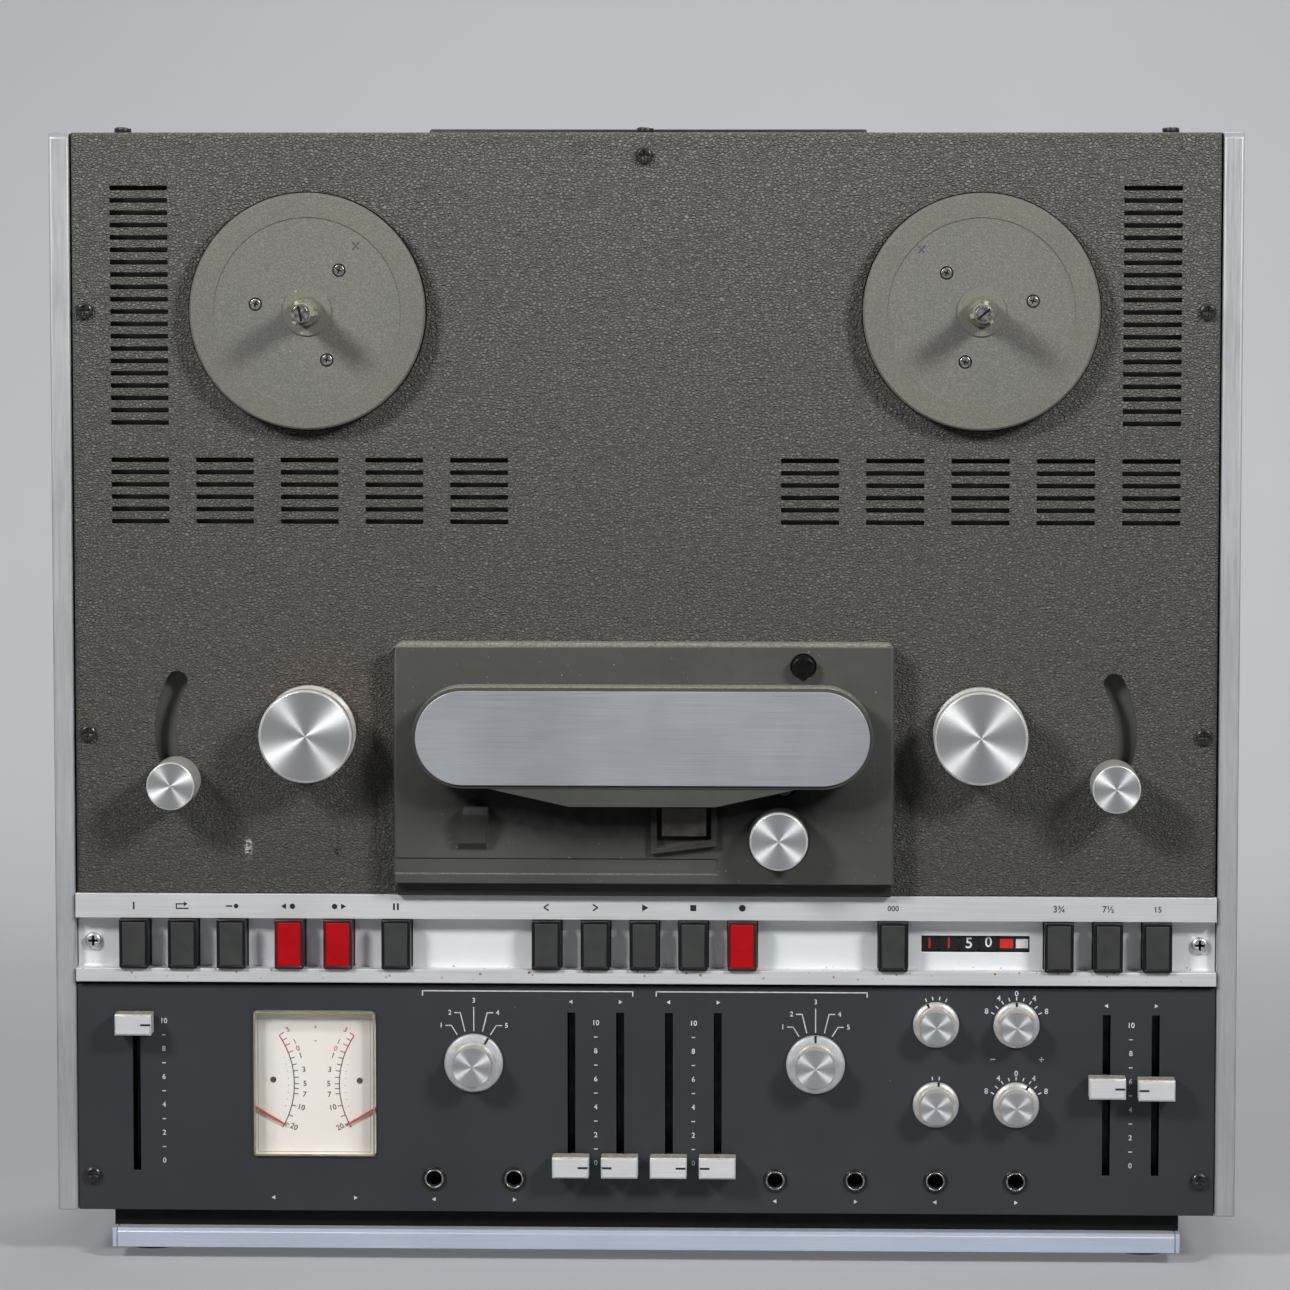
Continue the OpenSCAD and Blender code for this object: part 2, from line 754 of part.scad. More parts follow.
module deck_cover() {
    hub_hole_r = hub_d / 2 + 2;
    r = deck_round;
    color([0.34, 0.34, 0.32]) face() difference() {
        slab(-mount_d, 0) rect(-deck_half, deck_z, deck_half, top_z);
        slab(-mount_d - 1, -sheet_t)
            rect(-deck_half + sheet_t, deck_z + sheet_t, deck_half - sheet_t, top_z - sheet_t);
        for (s = [0, 1]) mirror([s, 0, 0]) translate([deck_half, deck_z - 1, 0]) rotate([-90, 0, 0])
            mirror([0, 1, 0]) edge_round(deck_h + 2, r);
        translate([-deck_half - 1, top_z, 0]) rotate([90, 0, 90]) edge_round(2 * deck_half + 2, r);
        slab(-sheet_t - 1, 1) {
            vents();
            for (s = [-1, 1]) {
                translate([s * reel_x, reel_z]) circle(hub_hole_r);
                translate([s * roller_x, path_z]) circle(shaft_d / 2 + 2);
                translate([s * tension_x, path_z])
                    arc_slot(tension_l, tension_slot_w, s > 0 ? 0 : 180, tension_half_angle);
            }
            rect(-head_w / 2 + head_wall, head_z + head_wall, head_w / 2 - head_wall, head_top - head_wall);
        }
        screw_holes();
    }
}

// Outline of the head block with its two rounded upper corners
module head_outline() {
    h = head_w / 2;
    corner = 3.6;
    right = [for (a = [0:15:90]) [h - corner + corner * cos(a), head_top - corner + corner * sin(a)]];
    left = [for (a = [90:15:180]) [corner - h + corner * cos(a), head_top - corner + corner * sin(a)]];
    polygon(concat([[-h, head_z], [h, head_z]], right, left));
}

// Four corners of the shield opening: its lower lip rises to the right
function shield_corners(grow) = [
    [shield_x0 - grow, path_z - shield_drop0 - grow], [shield_x1 + grow, path_z - shield_drop1 - grow],
    [shield_x1 + grow, path_low], [shield_x0 - grow, path_low]
];

// Wedge that guides the tape: its side view, cut to the leaning sides of its front view
module guide_wedge() {
    foot_z = path_z - guide_foot;
    intersection() {
        translate([guide_left, 0, 0]) rotate([90, 0, 90])
            linear_extrude(guide_right + guide_lean_right - guide_left) polygon([
                [foot_z, head_d - 1], [path_z - guide_bend, head_d + 4],
                [path_low - 2.5, head_d + guide_reach], [path_low, head_d + guide_reach - 1],
                [path_low, head_d - 1]
            ]);
        slab(head_d - 2, head_d + guide_reach + 1) polygon([
            [guide_left, foot_z - 1], [guide_right, foot_z - 1],
            [guide_right + guide_lean_right, path_low + 1], [guide_left + guide_lean_left, path_low + 1]
        ]);
    }
}

module head_block() {
    b = head_bevel;
    w = head_wall;
    foot_d = head_d / 2;
    splice_z = head_z + 4;
    splice_w = 6.3;
    splice_end = 30;
    color([0.29, 0.29, 0.28]) face() difference() {
        union() {
            difference() {
                slab(0, head_d) head_outline();
                slab(-1, head_d - w)
                    rect(-head_w / 2 + w, head_z + w, head_w / 2 - w, head_top - w);
                translate([0, head_top, head_d]) rotate([45, 0, 0])
                    cube([head_w + 2, b * sqrt(2), b * sqrt(2)], center = true);
                for (s = [-1, 1]) translate([s * head_w / 2, head_z + head_h / 2, head_d])
                    rotate([0, 45, 0]) cube([b, head_h + 2, b], center = true);
            }
            slab(0, foot_d) rect(-head_w / 2 + 1, deck_z, head_w / 2 - 1, head_z + 1);
            slab(head_d - 1, head_d + 3) polygon(shield_corners(2.5));
            guide_wedge();
        }
        slab(head_d - shield_t, head_d + 4) polygon(shield_corners(0));
        slab(head_d - 0.8, head_d + 1) rect(-head_w / 2 - 1, splice_z, splice_end, splice_z + splice_w);
        pin(capstan_x, capstan_z, capstan_d / 2 + 2, 0, head_d + 1);
        pin(cue_x(), cue_z(), cue_d / 2 + slide_gap, 0, head_d + 1);
        pin((pinch_x + pinch_meet_x) / 2, (pinch_z + pinch_meet_z) / 2, pinch_hole_r, 0, head_d + 1);
    }
}

// Place of the cue button on the head block
function cue_x() = head_w / 2 - cue_in;
function cue_z() = head_top - cue_drop;

module head_cover() {
    inner_l = cover_l - 2 * cover_wall;
    inner_h = cover_h - 2 * cover_wall;
    visor_t = 2;
    visor_front = cover_front - 0.5;
    open_half = visor_top_half + 6;
    color([0.27, 0.27, 0.26]) face() union() {
        difference() {
            translate([0, path_z]) slab(head_d, cover_front) stadium(cover_l, cover_h);
            translate([0, path_z]) slab(head_d - 1, cover_front - cover_wall) stadium(inner_l, inner_h);
            slab(head_d - 1, cover_front - cover_wall)
                rect(-open_half, path_z - cover_h, open_half, path_z - cover_h / 2 + cover_wall + 1);
        }
        slab(visor_front - visor_t, visor_front) polygon([
            [-visor_top_half - 6, path_z - cover_h / 2 + 4], [-visor_top_half, path_z - cover_h / 2 + 1.4],
            [-visor_low_half, path_z - visor_drop], [visor_low_half, path_z - visor_drop],
            [visor_top_half, path_z - cover_h / 2 + 1.4], [visor_top_half + 6, path_z - cover_h / 2 + 4]
        ]);
    }
}

module head_trim_plate() {
    color([0.6, 0.63, 0.65]) face() translate([0, path_z]) slab(cover_front, trim_front)
        stadium(cover_l - 2 * trim_rim, cover_h - 2 * trim_rim);
}

// Erase, record and playback heads, with the shield below the last of them
module tape_heads() {
    z = head_face_z;
    color("gainsboro") face() {
        for (h = HEADS) slab(head_d, head_d + head_reach) intersection() {
            rect(h[0] - h[1] / 2, z, h[0] + h[1] / 2, z + head_l);
            union() {
                translate([h[0], z + head_nose_r]) circle(head_nose_r);
                rect(h[0] - h[1] / 2, z + head_shoulder, h[0] + h[1] / 2, z + head_l);
            }
        }
        slab(head_d - shield_t, head_d + shield_t)
            rect(shield_x0 + 2, path_z - shield_drop1 + shield_t, shield_x1 - 2, path_low - 0.5);
    }
}

module transport_strip() {
    t = sheet_t;
    lip_z = strip_z + lip_low_h;
    top_lip_z = lip_z + channel_h;
    color("silver") face() difference() {
        translate([-front_half, 0, 0]) rotate([90, 0, 90]) linear_extrude(2 * front_half) polygon([
            [strip_top, -mount_d], [strip_top, lip_reach], [top_lip_z, lip_reach], [top_lip_z, -channel_d],
            [lip_z, -channel_d], [lip_z, lip_reach], [strip_z, lip_reach], [strip_z, -mount_d],
            [strip_z + t, -mount_d], [strip_z + t, lip_reach - t], [lip_z - t, lip_reach - t],
            [lip_z - t, -channel_d - t], [top_lip_z + t, -channel_d - t], [top_lip_z + t, lip_reach - t],
            [strip_top - t, lip_reach - t], [strip_top - t, -mount_d]
        ]);
        slab(-channel_d - 2 * t, -channel_d + 1) {
            for (k = KEYS) translate([k[1], key_z])
                square([key_w + 2 * slide_gap, channel_h], center = true);
            translate([counter_x, key_z]) square([counter_w, counter_h], center = true);
        }
        screw_holes();
    }
}

// Push key: a cap that slides in the strip, on a stem that enters its switch
module key(k) {
    bevel = 0.8;
    back = key_reach - key_depth;
    color(is_red(k[0]) ? "crimson" : [0.15, 0.15, 0.16]) face() translate([k[1], key_z, 0]) {
        slab(back, key_reach - bevel) square([key_w, key_h], center = true);
        slab(key_reach - bevel, key_reach) square([key_w - 2 * bevel, key_h - 2 * bevel], center = true);
        slab(back - stem_l, back) square([stem_w, stem_h], center = true);
    }
}

// Is this key one of the record keys?
function is_red(name) = len([for (r = RED_KEYS) if (r == name) r]) > 0;

module control_panel() {
    color([0.21, 0.22, 0.23]) face() difference() {
        slab(-mount_d, -panel_set) rect(-front_half, base_z, front_half, panel_top);
        slab(-mount_d - 1, -panel_back)
            rect(-front_half + sheet_t, base_z + sheet_t, front_half - sheet_t, panel_top - sheet_t);
        slab(-panel_back - 1, 0) {
            for (f = FADERS) translate([f[1], fader_z0 + fader_travel / 2]) fader_slot(fader_slot_w);
            for (k = KNOBS) translate([k[1], k[2]]) circle(knob_bush_r + fit_gap);
            for (x = jack_xs) translate([x, jack_z]) circle(jack_bush_r + fit_gap);
            translate([-meter_x, meter_z])
                round_rect(meter_w + 2 * fit_gap, meter_h + 2 * fit_gap, window_round + fit_gap);
        }
        screw_holes();
    }
}

// Straight slot that a fader's lever runs in
module fader_slot(w) {
    square([w, fader_travel + lever_h + 2 * fader_slot_over], center = true);
}

module fader(f) {
    z = fader_z0 + f[2] * fader_travel;
    w0 = -panel_set + fader_stand;
    bevel = 0.4;
    color("gainsboro") face() translate([f[1], z, 0]) {
        slab(w0, w0 + fader_knob_d - bevel) square([fader_knob_w, fader_knob_h], center = true);
        slab(w0 + fader_knob_d - bevel, w0 + fader_knob_d)
            square([fader_knob_w - 2 * bevel, fader_knob_h - 2 * bevel], center = true);
        slab(-lever_end, w0) square([lever_w, lever_h], center = true);
    }
}

// Turned knob: a skirt with a pointer mark, a cap, and a shaft into its switch or potentiometer
module knob(k) {
    r = k[3] / 2;
    cap_r = r - k[5];
    w0 = -panel_set + knob_stand;
    skirt_top = w0 + knob_skirt_t;
    cap_top = skirt_top + r * 0.9;
    color("gainsboro") face() translate([k[1], k[2], 0]) {
        difference() {
            rotate_extrude() polygon([
                [0, w0], [r, w0], [r, skirt_top - 1], [r - 0.6, skirt_top - 0.4], [cap_r + 0.6, skirt_top],
                [cap_r, skirt_top + 0.6], [cap_r, cap_top - knob_edge],
                [cap_r - knob_edge, cap_top], [0, cap_top]
            ]);
            rotate(-k[4]) translate([-pointer_w / 2, cap_r + 0.4, skirt_top - 0.7]) cube([pointer_w, r, 2]);
        }
        pin(0, 0, knob_shaft_d / 2, -knob_shaft_end, w0 + eps);
    }
}

module meter_case() {
    wall = sheet_t;
    color("ivory") face() translate([-meter_x, meter_z, 0]) {
        difference() {
            slab(-meter_end, -panel_back) square([2 * meter_case_half, meter_case_h], center = true);
            slab(-dial_w, 0) square([2 * (meter_case_half - wall), meter_case_h - 2 * wall], center = true);
            slab(-meter_end + wall, -dial_w - wall)
                square([2 * (meter_case_half - wall), meter_case_h - 2 * wall], center = true);
        }
        for (s = [-1, 1]) pin(s * needle_pivot_x, 0, needle_pin_r, -dial_w - eps, needle_w0 + needle_t + 1);
    }
}

module meter_window() {
    skirt = 1.2;
    color([0.9, 0.95, 0.95, 0.4]) face() translate([-meter_x, meter_z, 0]) difference() {
        slab(-panel_back, window_front) round_rect(meter_w, meter_h, window_round);
        slab(-panel_back - 1, window_front - window_t)
            round_rect(meter_w - 2 * skirt, meter_h - 2 * skirt, window_round - skirt / 2);
    }
}

// Meter needle on its pivot; side is -1 for the left channel and 1 for the right
module meter_needle(side) {
    root = 0.9;
    tip = 0.3;
    color("red") face() translate([-meter_x + side * needle_pivot_x, meter_z, 0])
        slab(needle_w0, needle_w0 + needle_t) difference() {
            union() {
                circle(needle_hub_r);
                rotate(side < 0 ? -needle_rest_angle : 180 + needle_rest_angle)
                    polygon([[-1, root], [-1, -root], [needle_l, -tip], [needle_l, tip]]);
            }
            circle(needle_pin_r + run_gap);
        }
}

// Two reel motors and the capstan motor, each on three pillars behind the chassis
module drive_motors() {
    color("gray") face() {
        for (s = [-1, 1]) motor(s * reel_x, reel_z, shaft_d / 2);
        motor(capstan_x, capstan_z, capstan_d / 2);
    }
}

module motor(u, v, r) {
    difference() {
        union() {
            pin(u, v, motor_r, -motor_front - motor_l, -motor_front);
            for (a = [90, 210, 330]) pin(u + pillar_circle * cos(a), v + pillar_circle * sin(a), pillar_r,
                -motor_front - eps, -chassis_back);
        }
        pin(u, v, r + run_gap, -shaft_end - 2, 0);
    }
}

// Transformer, amplifier cards, fader tracks, rotary switches, key switches and the tape counter
module electronics() {
    floor_z = base_z + sheet_t;
    card_count = 5;
    card_h = 84;
    card_d = 70;
    card_pitch = 34;
    card_x = -20;
    deep = cabinet_back - inlet_l - 2;
    core_x = -150;
    coil_out = 10;
    color("darkolivegreen") face() {
        translate([core_x, floor_z + core_h / 2, 0]) {
            slab(-deep, -deep + core_l) square([core_w, core_h], center = true);
            slab(-deep - coil_out / 4, -deep + core_l + coil_out)
                square([core_w / 2, core_h / 2], center = true);
        }
        for (i = [0:card_count - 1]) slab(-deep, -deep + card_d)
            rect(card_x + i * card_pitch, floor_z, card_x + i * card_pitch + board_t, floor_z + card_h);
        for (f = FADERS) difference() {
            slab(-fader_body_end, -panel_back) translate([f[1], fader_z0 + fader_travel / 2])
                square([fader_body_w, fader_travel + lever_h + 10], center = true);
            slab(-lever_end - 1, 0) translate([f[1], fader_z0 + fader_travel / 2])
                fader_slot(lever_w + 2 * slide_gap);
        }
        for (k = KNOBS) difference() {
            union() {
                pin(k[1], k[2], k[3] / 2 - 1, -rotary_end, -panel_back);
                pin(k[1], k[2], knob_bush_r, -panel_back - eps, -panel_set);
            }
            pin(k[1], k[2], knob_shaft_d / 2 + run_gap, -knob_shaft_end - 1, 0);
        }
        key_board();
        counter();
    }
}

// Board across the machine that carries the key switches, on spacers behind the chassis
module key_board() {
    half = inner_half - key_edge + key_w + 6;
    low = strip_z - 3;
    high = strip_top + 3;
    spacer_r = 2.5;
    slab(-key_board_w - board_t, -key_board_w) rect(-half, low, half, high);
    for (s = [-1, 1], v = [low + spacer_r, high - spacer_r])
        pin(s * (half - spacer_r), v, spacer_r, -key_board_w - eps, -chassis_back);
    for (k = KEYS) translate([k[1], key_z, 0]) difference() {
        slab(-key_board_w - eps, -switch_front) square([switch_w, switch_h], center = true);
        slab(-key_board_w + 1, 0) square([stem_w + 2 * slide_gap, stem_h + 2 * slide_gap], center = true);
    }
}

// Row of number drums behind the counter window, in a frame on the key board
module counter() {
    drum_r = 8;
    axis_w = -channel_d - sheet_t - 0.5 - drum_r;
    frame_h = 12;
    translate([counter_x, key_z, axis_w]) {
        rotate([0, 90, 0]) cylinder(r = drum_r, h = counter_w - 2, center = true);
        translate([0, 0, (-key_board_w - axis_w) / 2])
            cube([counter_w - 6, frame_h, key_board_w + axis_w + eps], center = true);
    }
}

// Front jacks, rear sockets and the mains inlet
module sockets() {
    color([0.1, 0.1, 0.1]) face() {
        for (x = jack_xs) difference() {
            union() {
                pin(x, jack_z, jack_ring_d / 2, -panel_set, -panel_set + jack_proud);
                pin(x, jack_z, jack_bush_r, -panel_back - eps, -panel_set + eps);
                slab(-jack_end, -panel_back) translate([x, jack_z]) square(jack_body, center = true);
            }
            pin(x, jack_z, jack_bore_d / 2, -jack_bore_end, 1);
        }
        for (p = REAR_SOCKETS) {
            difference() {
                pin(p[0], p[1], rear_socket_r, -body_depth, -cabinet_back + eps);
                pin(p[0], p[1], rear_socket_r / 3, -body_depth - 1, -body_depth + rear_hole_l);
            }
            slab(-cabinet_back, -cabinet_back + rear_socket_l) translate(p)
                square(rear_socket_pitch * 0.6, center = true);
        }
        translate([inlet_x, inlet_z, 0]) {
            difference() {
                union() {
                    slab(-back_w, -back_w + inlet_l) square([inlet_w, inlet_h], center = true);
                    slab(-back_w - socket_reach / 2, -back_w)
                        square([inlet_w + 2 * inlet_flange, inlet_h + 1.5 * inlet_flange], center = true);
                }
                slab(-back_w - socket_reach, -back_w + inlet_l - inlet_floor)
                    square([inlet_w - 2 * inlet_wall, inlet_h - 2 * inlet_wall], center = true);
            }
            for (i = [-1, 0, 1]) slab(-back_w + blade_w, -back_w + inlet_l - inlet_floor + eps)
                translate([i * blade_pitch, 0]) square([blade_w, blade_h], center = true);
        }
    }
}

module base_plinth() {
    half = inner_half - plinth_inset;
    y0 = deck_y + rail_d;
    y1 = deck_y + back_w - rail_d;
    w = plinth_wall;
    pad_in = pad_r + w / 2;
    color([0.08, 0.08, 0.08]) {
        difference() {
            translate([-half, y0, pad_h]) cube([2 * half, y1 - y0, plinth_h]);
            translate([-half + w, y0 + w, pad_h - 1])
                cube([2 * (half - w), y1 - y0 - 2 * w, plinth_h + 1 - w]);
        }
        for (x = [-1, 1], y = [y0 + pad_back, y1 - pad_in])
            translate([x * (half - pad_in), y, 0]) cylinder(r = pad_r, h = base_z - w / 2);
    }
}

module base_rail() {
    half = inner_half - plinth_inset;
    rail_z = pad_h + 1;
    b = rail_bevel;
    color("silver") face() {
        translate([-half + rail_cap_t, 0, 0]) rotate([90, 0, 90]) linear_extrude(2 * (half - rail_cap_t))
            polygon([
                [rail_z, -rail_d], [rail_z, 0], [rail_z + rail_h - b, 0], [rail_z + rail_h, -b],
                [rail_z + rail_h, -rail_d]
            ]);
        for (s = [-1, 1]) slab(-rail_d, 0)
            translate([s * (half - rail_cap_t / 2 + fit_gap), rail_z + rail_h / 2])
                square([rail_cap_t, rail_h], center = true);
    }
}

// Cross-head screw whose head stands out along z from the origin
module screw(l) {
    cross_w = 1;
    difference() {
        union() {
            cylinder(r = screw_r, h = screw_head_t - 0.6);
            translate([0, 0, screw_head_t - 0.6]) cylinder(r1 = screw_r, r2 = screw_r - 0.9, h = 0.6);
            translate([0, 0, -l]) cylinder(r = screw_shank_r, h = l + eps);
        }
        for (a = [0, 90]) rotate(a) translate([-screw_r * 0.6, -cross_w / 2, screw_head_t - 1])
            cube([screw_r * 1.2, cross_w, 2]);
    }
}

module screws() {
    color([0.12, 0.12, 0.12]) face() {
        for (p = DECK_SCREWS) translate([p[0], p[1], 0]) screw(screw_l);
        for (s = [-1, 1]) {
            translate([s * strip_screw_x, key_z, -channel_d]) screw(screw_l);
            translate([s * panel_screw_x, panel_screw_z, -panel_set]) screw(screw_l);
        }
        for (x = [-1, 0, 1]) translate([x * top_screw_x, top_z, -top_screw_w])
            rotate([-90, 0, 0]) screw(screw_l);
        for (p = REAR_SCREWS) translate([p[0], p[1], -back_w]) rotate([180, 0, 0]) screw(screw_l);
    }
}

module carry_handle() {
    half = handle_w / 2;
    z0 = handle_top - handle_t;
    grip_front = handle_pivot_w + handle_l;
    color("black") face() {
        slab(grip_front - handle_bar, grip_front) rect(-half, z0, half, handle_top);
        for (s = [-1, 1]) {
            slab(handle_pivot_w - handle_tail, grip_front - eps)
                translate([s * (half - handle_bar / 2), z0 + handle_t / 2])
                    square([handle_bar, handle_t], center = true);
            translate([s * (half - 1), handle_pivot_z, handle_pivot_w]) rotate([0, s * 90, 0])
                cylinder(r = handle_pin_r, h = 1 + slide_gap + sheet_t);
        }
    }
}

// Reel table: disc, hub, spindle with three lugs, brake drum and motor shaft; side is -1 or 1
module reel_table(side) {
    r = disc_d / 2;
    lug_w = 1.6;
    lug_r = spindle_d / 2 + 1.2;
    groove_w = 1;
    groove_t = 0.6;
    tip_l = 4;
    tip_r = 3.8;
    slot_w = 1;
    hub_rise = 0.5;
    collar_r = 6.2;
    collar_l = 9;
    turn = side < 0 ? disc_screw_turn : disc_screw_turn_right;
    lug_turn = side < 0 ? lug_turn_left : lug_turn_right;
    slot_turn = side < 0 ? slot_turn_left : slot_turn_right;
    color([0.46, 0.46, 0.43]) face() translate([side * reel_x, reel_z, 0]) {
        difference() {
            rotate_extrude() polygon([
                [0, -shaft_end], [shaft_d / 2, -shaft_end], [shaft_d / 2, -motor_front + motor_gap],
                [drum_r, -motor_front + motor_gap], [drum_r, -chassis_back - drum_gap],
                [shaft_d / 2, -chassis_back - drum_gap], [shaft_d / 2, -mount_d + 1],
                [hub_d / 2, -mount_d + 1],
                [hub_d / 2, disc_gap], [r - 0.8, disc_gap], [r, disc_gap + 0.8], [r, disc_front - 0.8],
                [r - 0.8, disc_front], [disc_groove_d / 2 + groove_w, disc_front],
                [disc_groove_d / 2 + groove_w, disc_front - groove_t],
                [disc_groove_d / 2, disc_front - groove_t], [disc_groove_d / 2, disc_front],
                [hub_d / 2, disc_front], [hub_d / 2 - hub_rise, disc_front + hub_rise],
                [collar_r, disc_front + hub_rise], [collar_r - 1, disc_front + collar_l],
                [spindle_d / 2, disc_front + collar_l], [spindle_d / 2, spindle_tip - tip_l],
                [tip_r, spindle_tip - tip_l], [tip_r, spindle_tip - 0.6],
                [tip_r - 0.6, spindle_tip], [0, spindle_tip]
            ]);
            for (a = [0, 120, 240]) rotate(turn + a) translate([disc_screw_r, 0, disc_front - 1.2])
                cylinder(r1 = 1.4, r2 = 2.7, h = 1.3);
            rotate(slot_turn) translate([-slot_w / 2, -tip_r, spindle_tip - 1.2])
                cube([slot_w, 2 * tip_r, 2]);
        }
        for (a = [0, 120, 240]) rotate(lug_turn + a) translate([0, -lug_w / 2, disc_front + collar_l - 1])
            cube([lug_r, lug_w, spindle_l - collar_l - tip_l]);
    }
}

// Tension arm: a lever behind the deck, a post through the slot and a turned cap
module tension_arm(side) {
    pivot = [side * tension_x, path_z];
    angle = side < 0 ? 180 + tension_half_angle : -tension_half_angle;
    post = pivot + tension_l * [cos(angle), sin(angle)];
    r = tension_cap_d / 2;
    cap_edge = 0.4;
    color("gainsboro") face() {
        difference() {
            slab(arm_w0, arm_w1) link(pivot, post, arm_half);
            pin(pivot[0], pivot[1], tension_pin_r + run_gap, -mount_d, 1);
        }
        pin(post[0], post[1], tension_post_d / 2, arm_w0 + eps, tension_base + eps);
        translate([post[0], post[1], 0]) rotate_extrude() polygon([
            [0, tension_base], [r, tension_base], [r, tension_reach - cap_edge],
            [r - cap_edge, tension_reach], [0, tension_reach]
        ]);
    }
}

// Guide roller on a shaft that runs in the chassis
module guide_roller(side) {
    r = roller_d / 2;
    base = 3;
    color("gainsboro") face() translate([side * roller_x, path_z, 0]) rotate_extrude() polygon([
        [0, -chassis_back - bearing_boss_l], [shaft_d / 2, -chassis_back - bearing_boss_l],
        [shaft_d / 2, base], [r, base], [r, base + 2.5], [r - 1.5, base + 3.5],
        [r - 1.5, roller_reach - 6], [r, roller_reach - 5],
        [r, roller_reach - 0.8], [r - 0.8, roller_reach], [0, roller_reach]
    ]);
}

// Capstan: a ground shaft with its flywheel, from the capstan motor to the front of the heads
module capstan() {
    r = capstan_d / 2;
    tip = cover_front - cover_wall - 1;
    color("gainsboro") face() translate([capstan_x, capstan_z, 0]) rotate_extrude() polygon([
        [0, -shaft_end], [r, -shaft_end], [r, -motor_front + motor_gap],
        [flywheel_r, -motor_front + motor_gap], [flywheel_r, -chassis_back - drum_gap],
        [r, -chassis_back - drum_gap], [r, tip - 0.5], [r - 0.5, tip], [0, tip]
    ]);
}

module pinch_arm() {
    a = [pinch_pivot_x, pivot_z];
    b = [pinch_x, pinch_z];
    w0 = pinch_arm_w0;
    w1 = pinch_arm_w1;
    color("darkgray") face() difference() {
        union() {
            slab(w0, w1) link(a, b, pinch_arm_half);
            pin(b[0], b[1], pinch_axle_r, w0 + eps, pinch_top - 2);
            pin(b[0], b[1], pinch_axle_r + pinch_collar, w0 + eps, pinch_base - slide_gap);
        }
        pin(a[0], a[1], pinch_pin_r + run_gap, w0 - 1, w1 + 1);
    }
}

module pinch_roller() {
    r = pinch_d / 2;
    cap_r = pinch_cap_d / 2;
    color("dimgray") face() translate([pinch_x, pinch_z, 0]) difference() {
        rotate_extrude() polygon([
            [0, pinch_base], [r - 0.6, pinch_base], [r, pinch_base + 0.6],
            [r, pinch_top - 0.6], [r - 0.6, pinch_top], [cap_r, pinch_top],
            [cap_r, pinch_cap_top - 0.6], [cap_r - 0.6, pinch_cap_top], [0, pinch_cap_top]
        ]);
        pin(0, 0, pinch_axle_r + run_gap, pinch_base - 1, pinch_top - 1.5);
    }
}

module cue_button() {
    r = cue_d / 2;
    stem_r = 2.5;
    front = head_d + 5;
    collar = head_d - head_wall - slide_gap;
    stem_end = -mount_d + cue_travel + slide_gap;
    color("black") face() translate([cue_x(), cue_z(), 0]) rotate_extrude() polygon([
        [0, stem_end], [stem_r, stem_end], [stem_r, collar - 4], [r + 1, collar - 4], [r + 1, collar],
        [r, collar], [r, front - 0.8], [r - 0.8, front], [0, front]
    ]);
}

cabinet_shell();
rear_cover();
side_panels();
chassis_frame();
deck_cover();
head_block();
head_cover();
head_trim_plate();
tape_heads();
transport_strip();
control_panel();
meter_case();
meter_window();
drive_motors();
electronics();
sockets();
base_plinth();
base_rail();
screws();
carry_handle();
reel_table(-1);  // left_reel_table
reel_table(1);  // right_reel_table
tension_arm(-1);  // left_tension_arm
tension_arm(1);  // right_tension_arm
guide_roller(-1);  // left_guide_roller
guide_roller(1);  // right_guide_roller
capstan();
pinch_arm();
pinch_roller();
cue_button();
meter_needle(-1);  // left_meter_needle
meter_needle(1);  // right_meter_needle
for (k = KEYS) key(k);
for (f = FADERS) fader(f);
for (k = KNOBS) knob(k);
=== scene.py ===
import bpy
from math import atan2, cos, degrees, hypot, radians, sin
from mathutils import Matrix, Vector


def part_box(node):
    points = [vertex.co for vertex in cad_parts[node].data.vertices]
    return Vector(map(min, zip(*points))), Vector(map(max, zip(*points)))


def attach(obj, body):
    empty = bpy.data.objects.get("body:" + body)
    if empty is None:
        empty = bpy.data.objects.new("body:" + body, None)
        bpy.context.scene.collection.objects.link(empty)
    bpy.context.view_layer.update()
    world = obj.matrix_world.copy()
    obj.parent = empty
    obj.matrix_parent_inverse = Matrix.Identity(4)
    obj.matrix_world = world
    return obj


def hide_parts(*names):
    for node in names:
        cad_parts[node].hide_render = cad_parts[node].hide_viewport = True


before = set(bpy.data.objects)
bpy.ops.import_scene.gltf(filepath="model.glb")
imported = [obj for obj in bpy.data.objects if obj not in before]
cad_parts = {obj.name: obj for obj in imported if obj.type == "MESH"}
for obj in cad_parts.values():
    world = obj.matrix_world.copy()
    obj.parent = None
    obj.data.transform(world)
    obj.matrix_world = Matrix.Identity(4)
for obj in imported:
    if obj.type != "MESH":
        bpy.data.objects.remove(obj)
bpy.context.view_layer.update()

# The viewer's place: a long lens a little above the middle of the deck and to its right.
# Lens, distance and tilt follow from the recorder's edges and turned caps in the photograph.
bpy.ops.object.select_all(action="DESELECT")
eye, tilt, swing = (0.0731, -2.2958, 0.4520), 84.97, 1.86
lens, film_width = 154.64, 36
bpy.ops.object.camera_add(location=eye, rotation=(radians(tilt), 0, radians(swing)))
camera = bpy.context.object
camera.data.lens = lens
camera.data.sensor_width = film_width
bpy.context.scene.camera = camera
bpy.context.scene.view_settings.view_transform = "Standard"


# The room: a roll of pale grey paper that runs under the recorder and rises behind it, grey walls,
# dimmer in front, and three soft boxes: two in front, high on the left and on the right, and one behind.
def tint(red, green, blue):
    """A colour as a screen shows it, 0 to 255, in the shader's linear values."""
    return tuple(((part / 255 + 0.055) / 1.055) ** 2.4 for part in (red, green, blue))


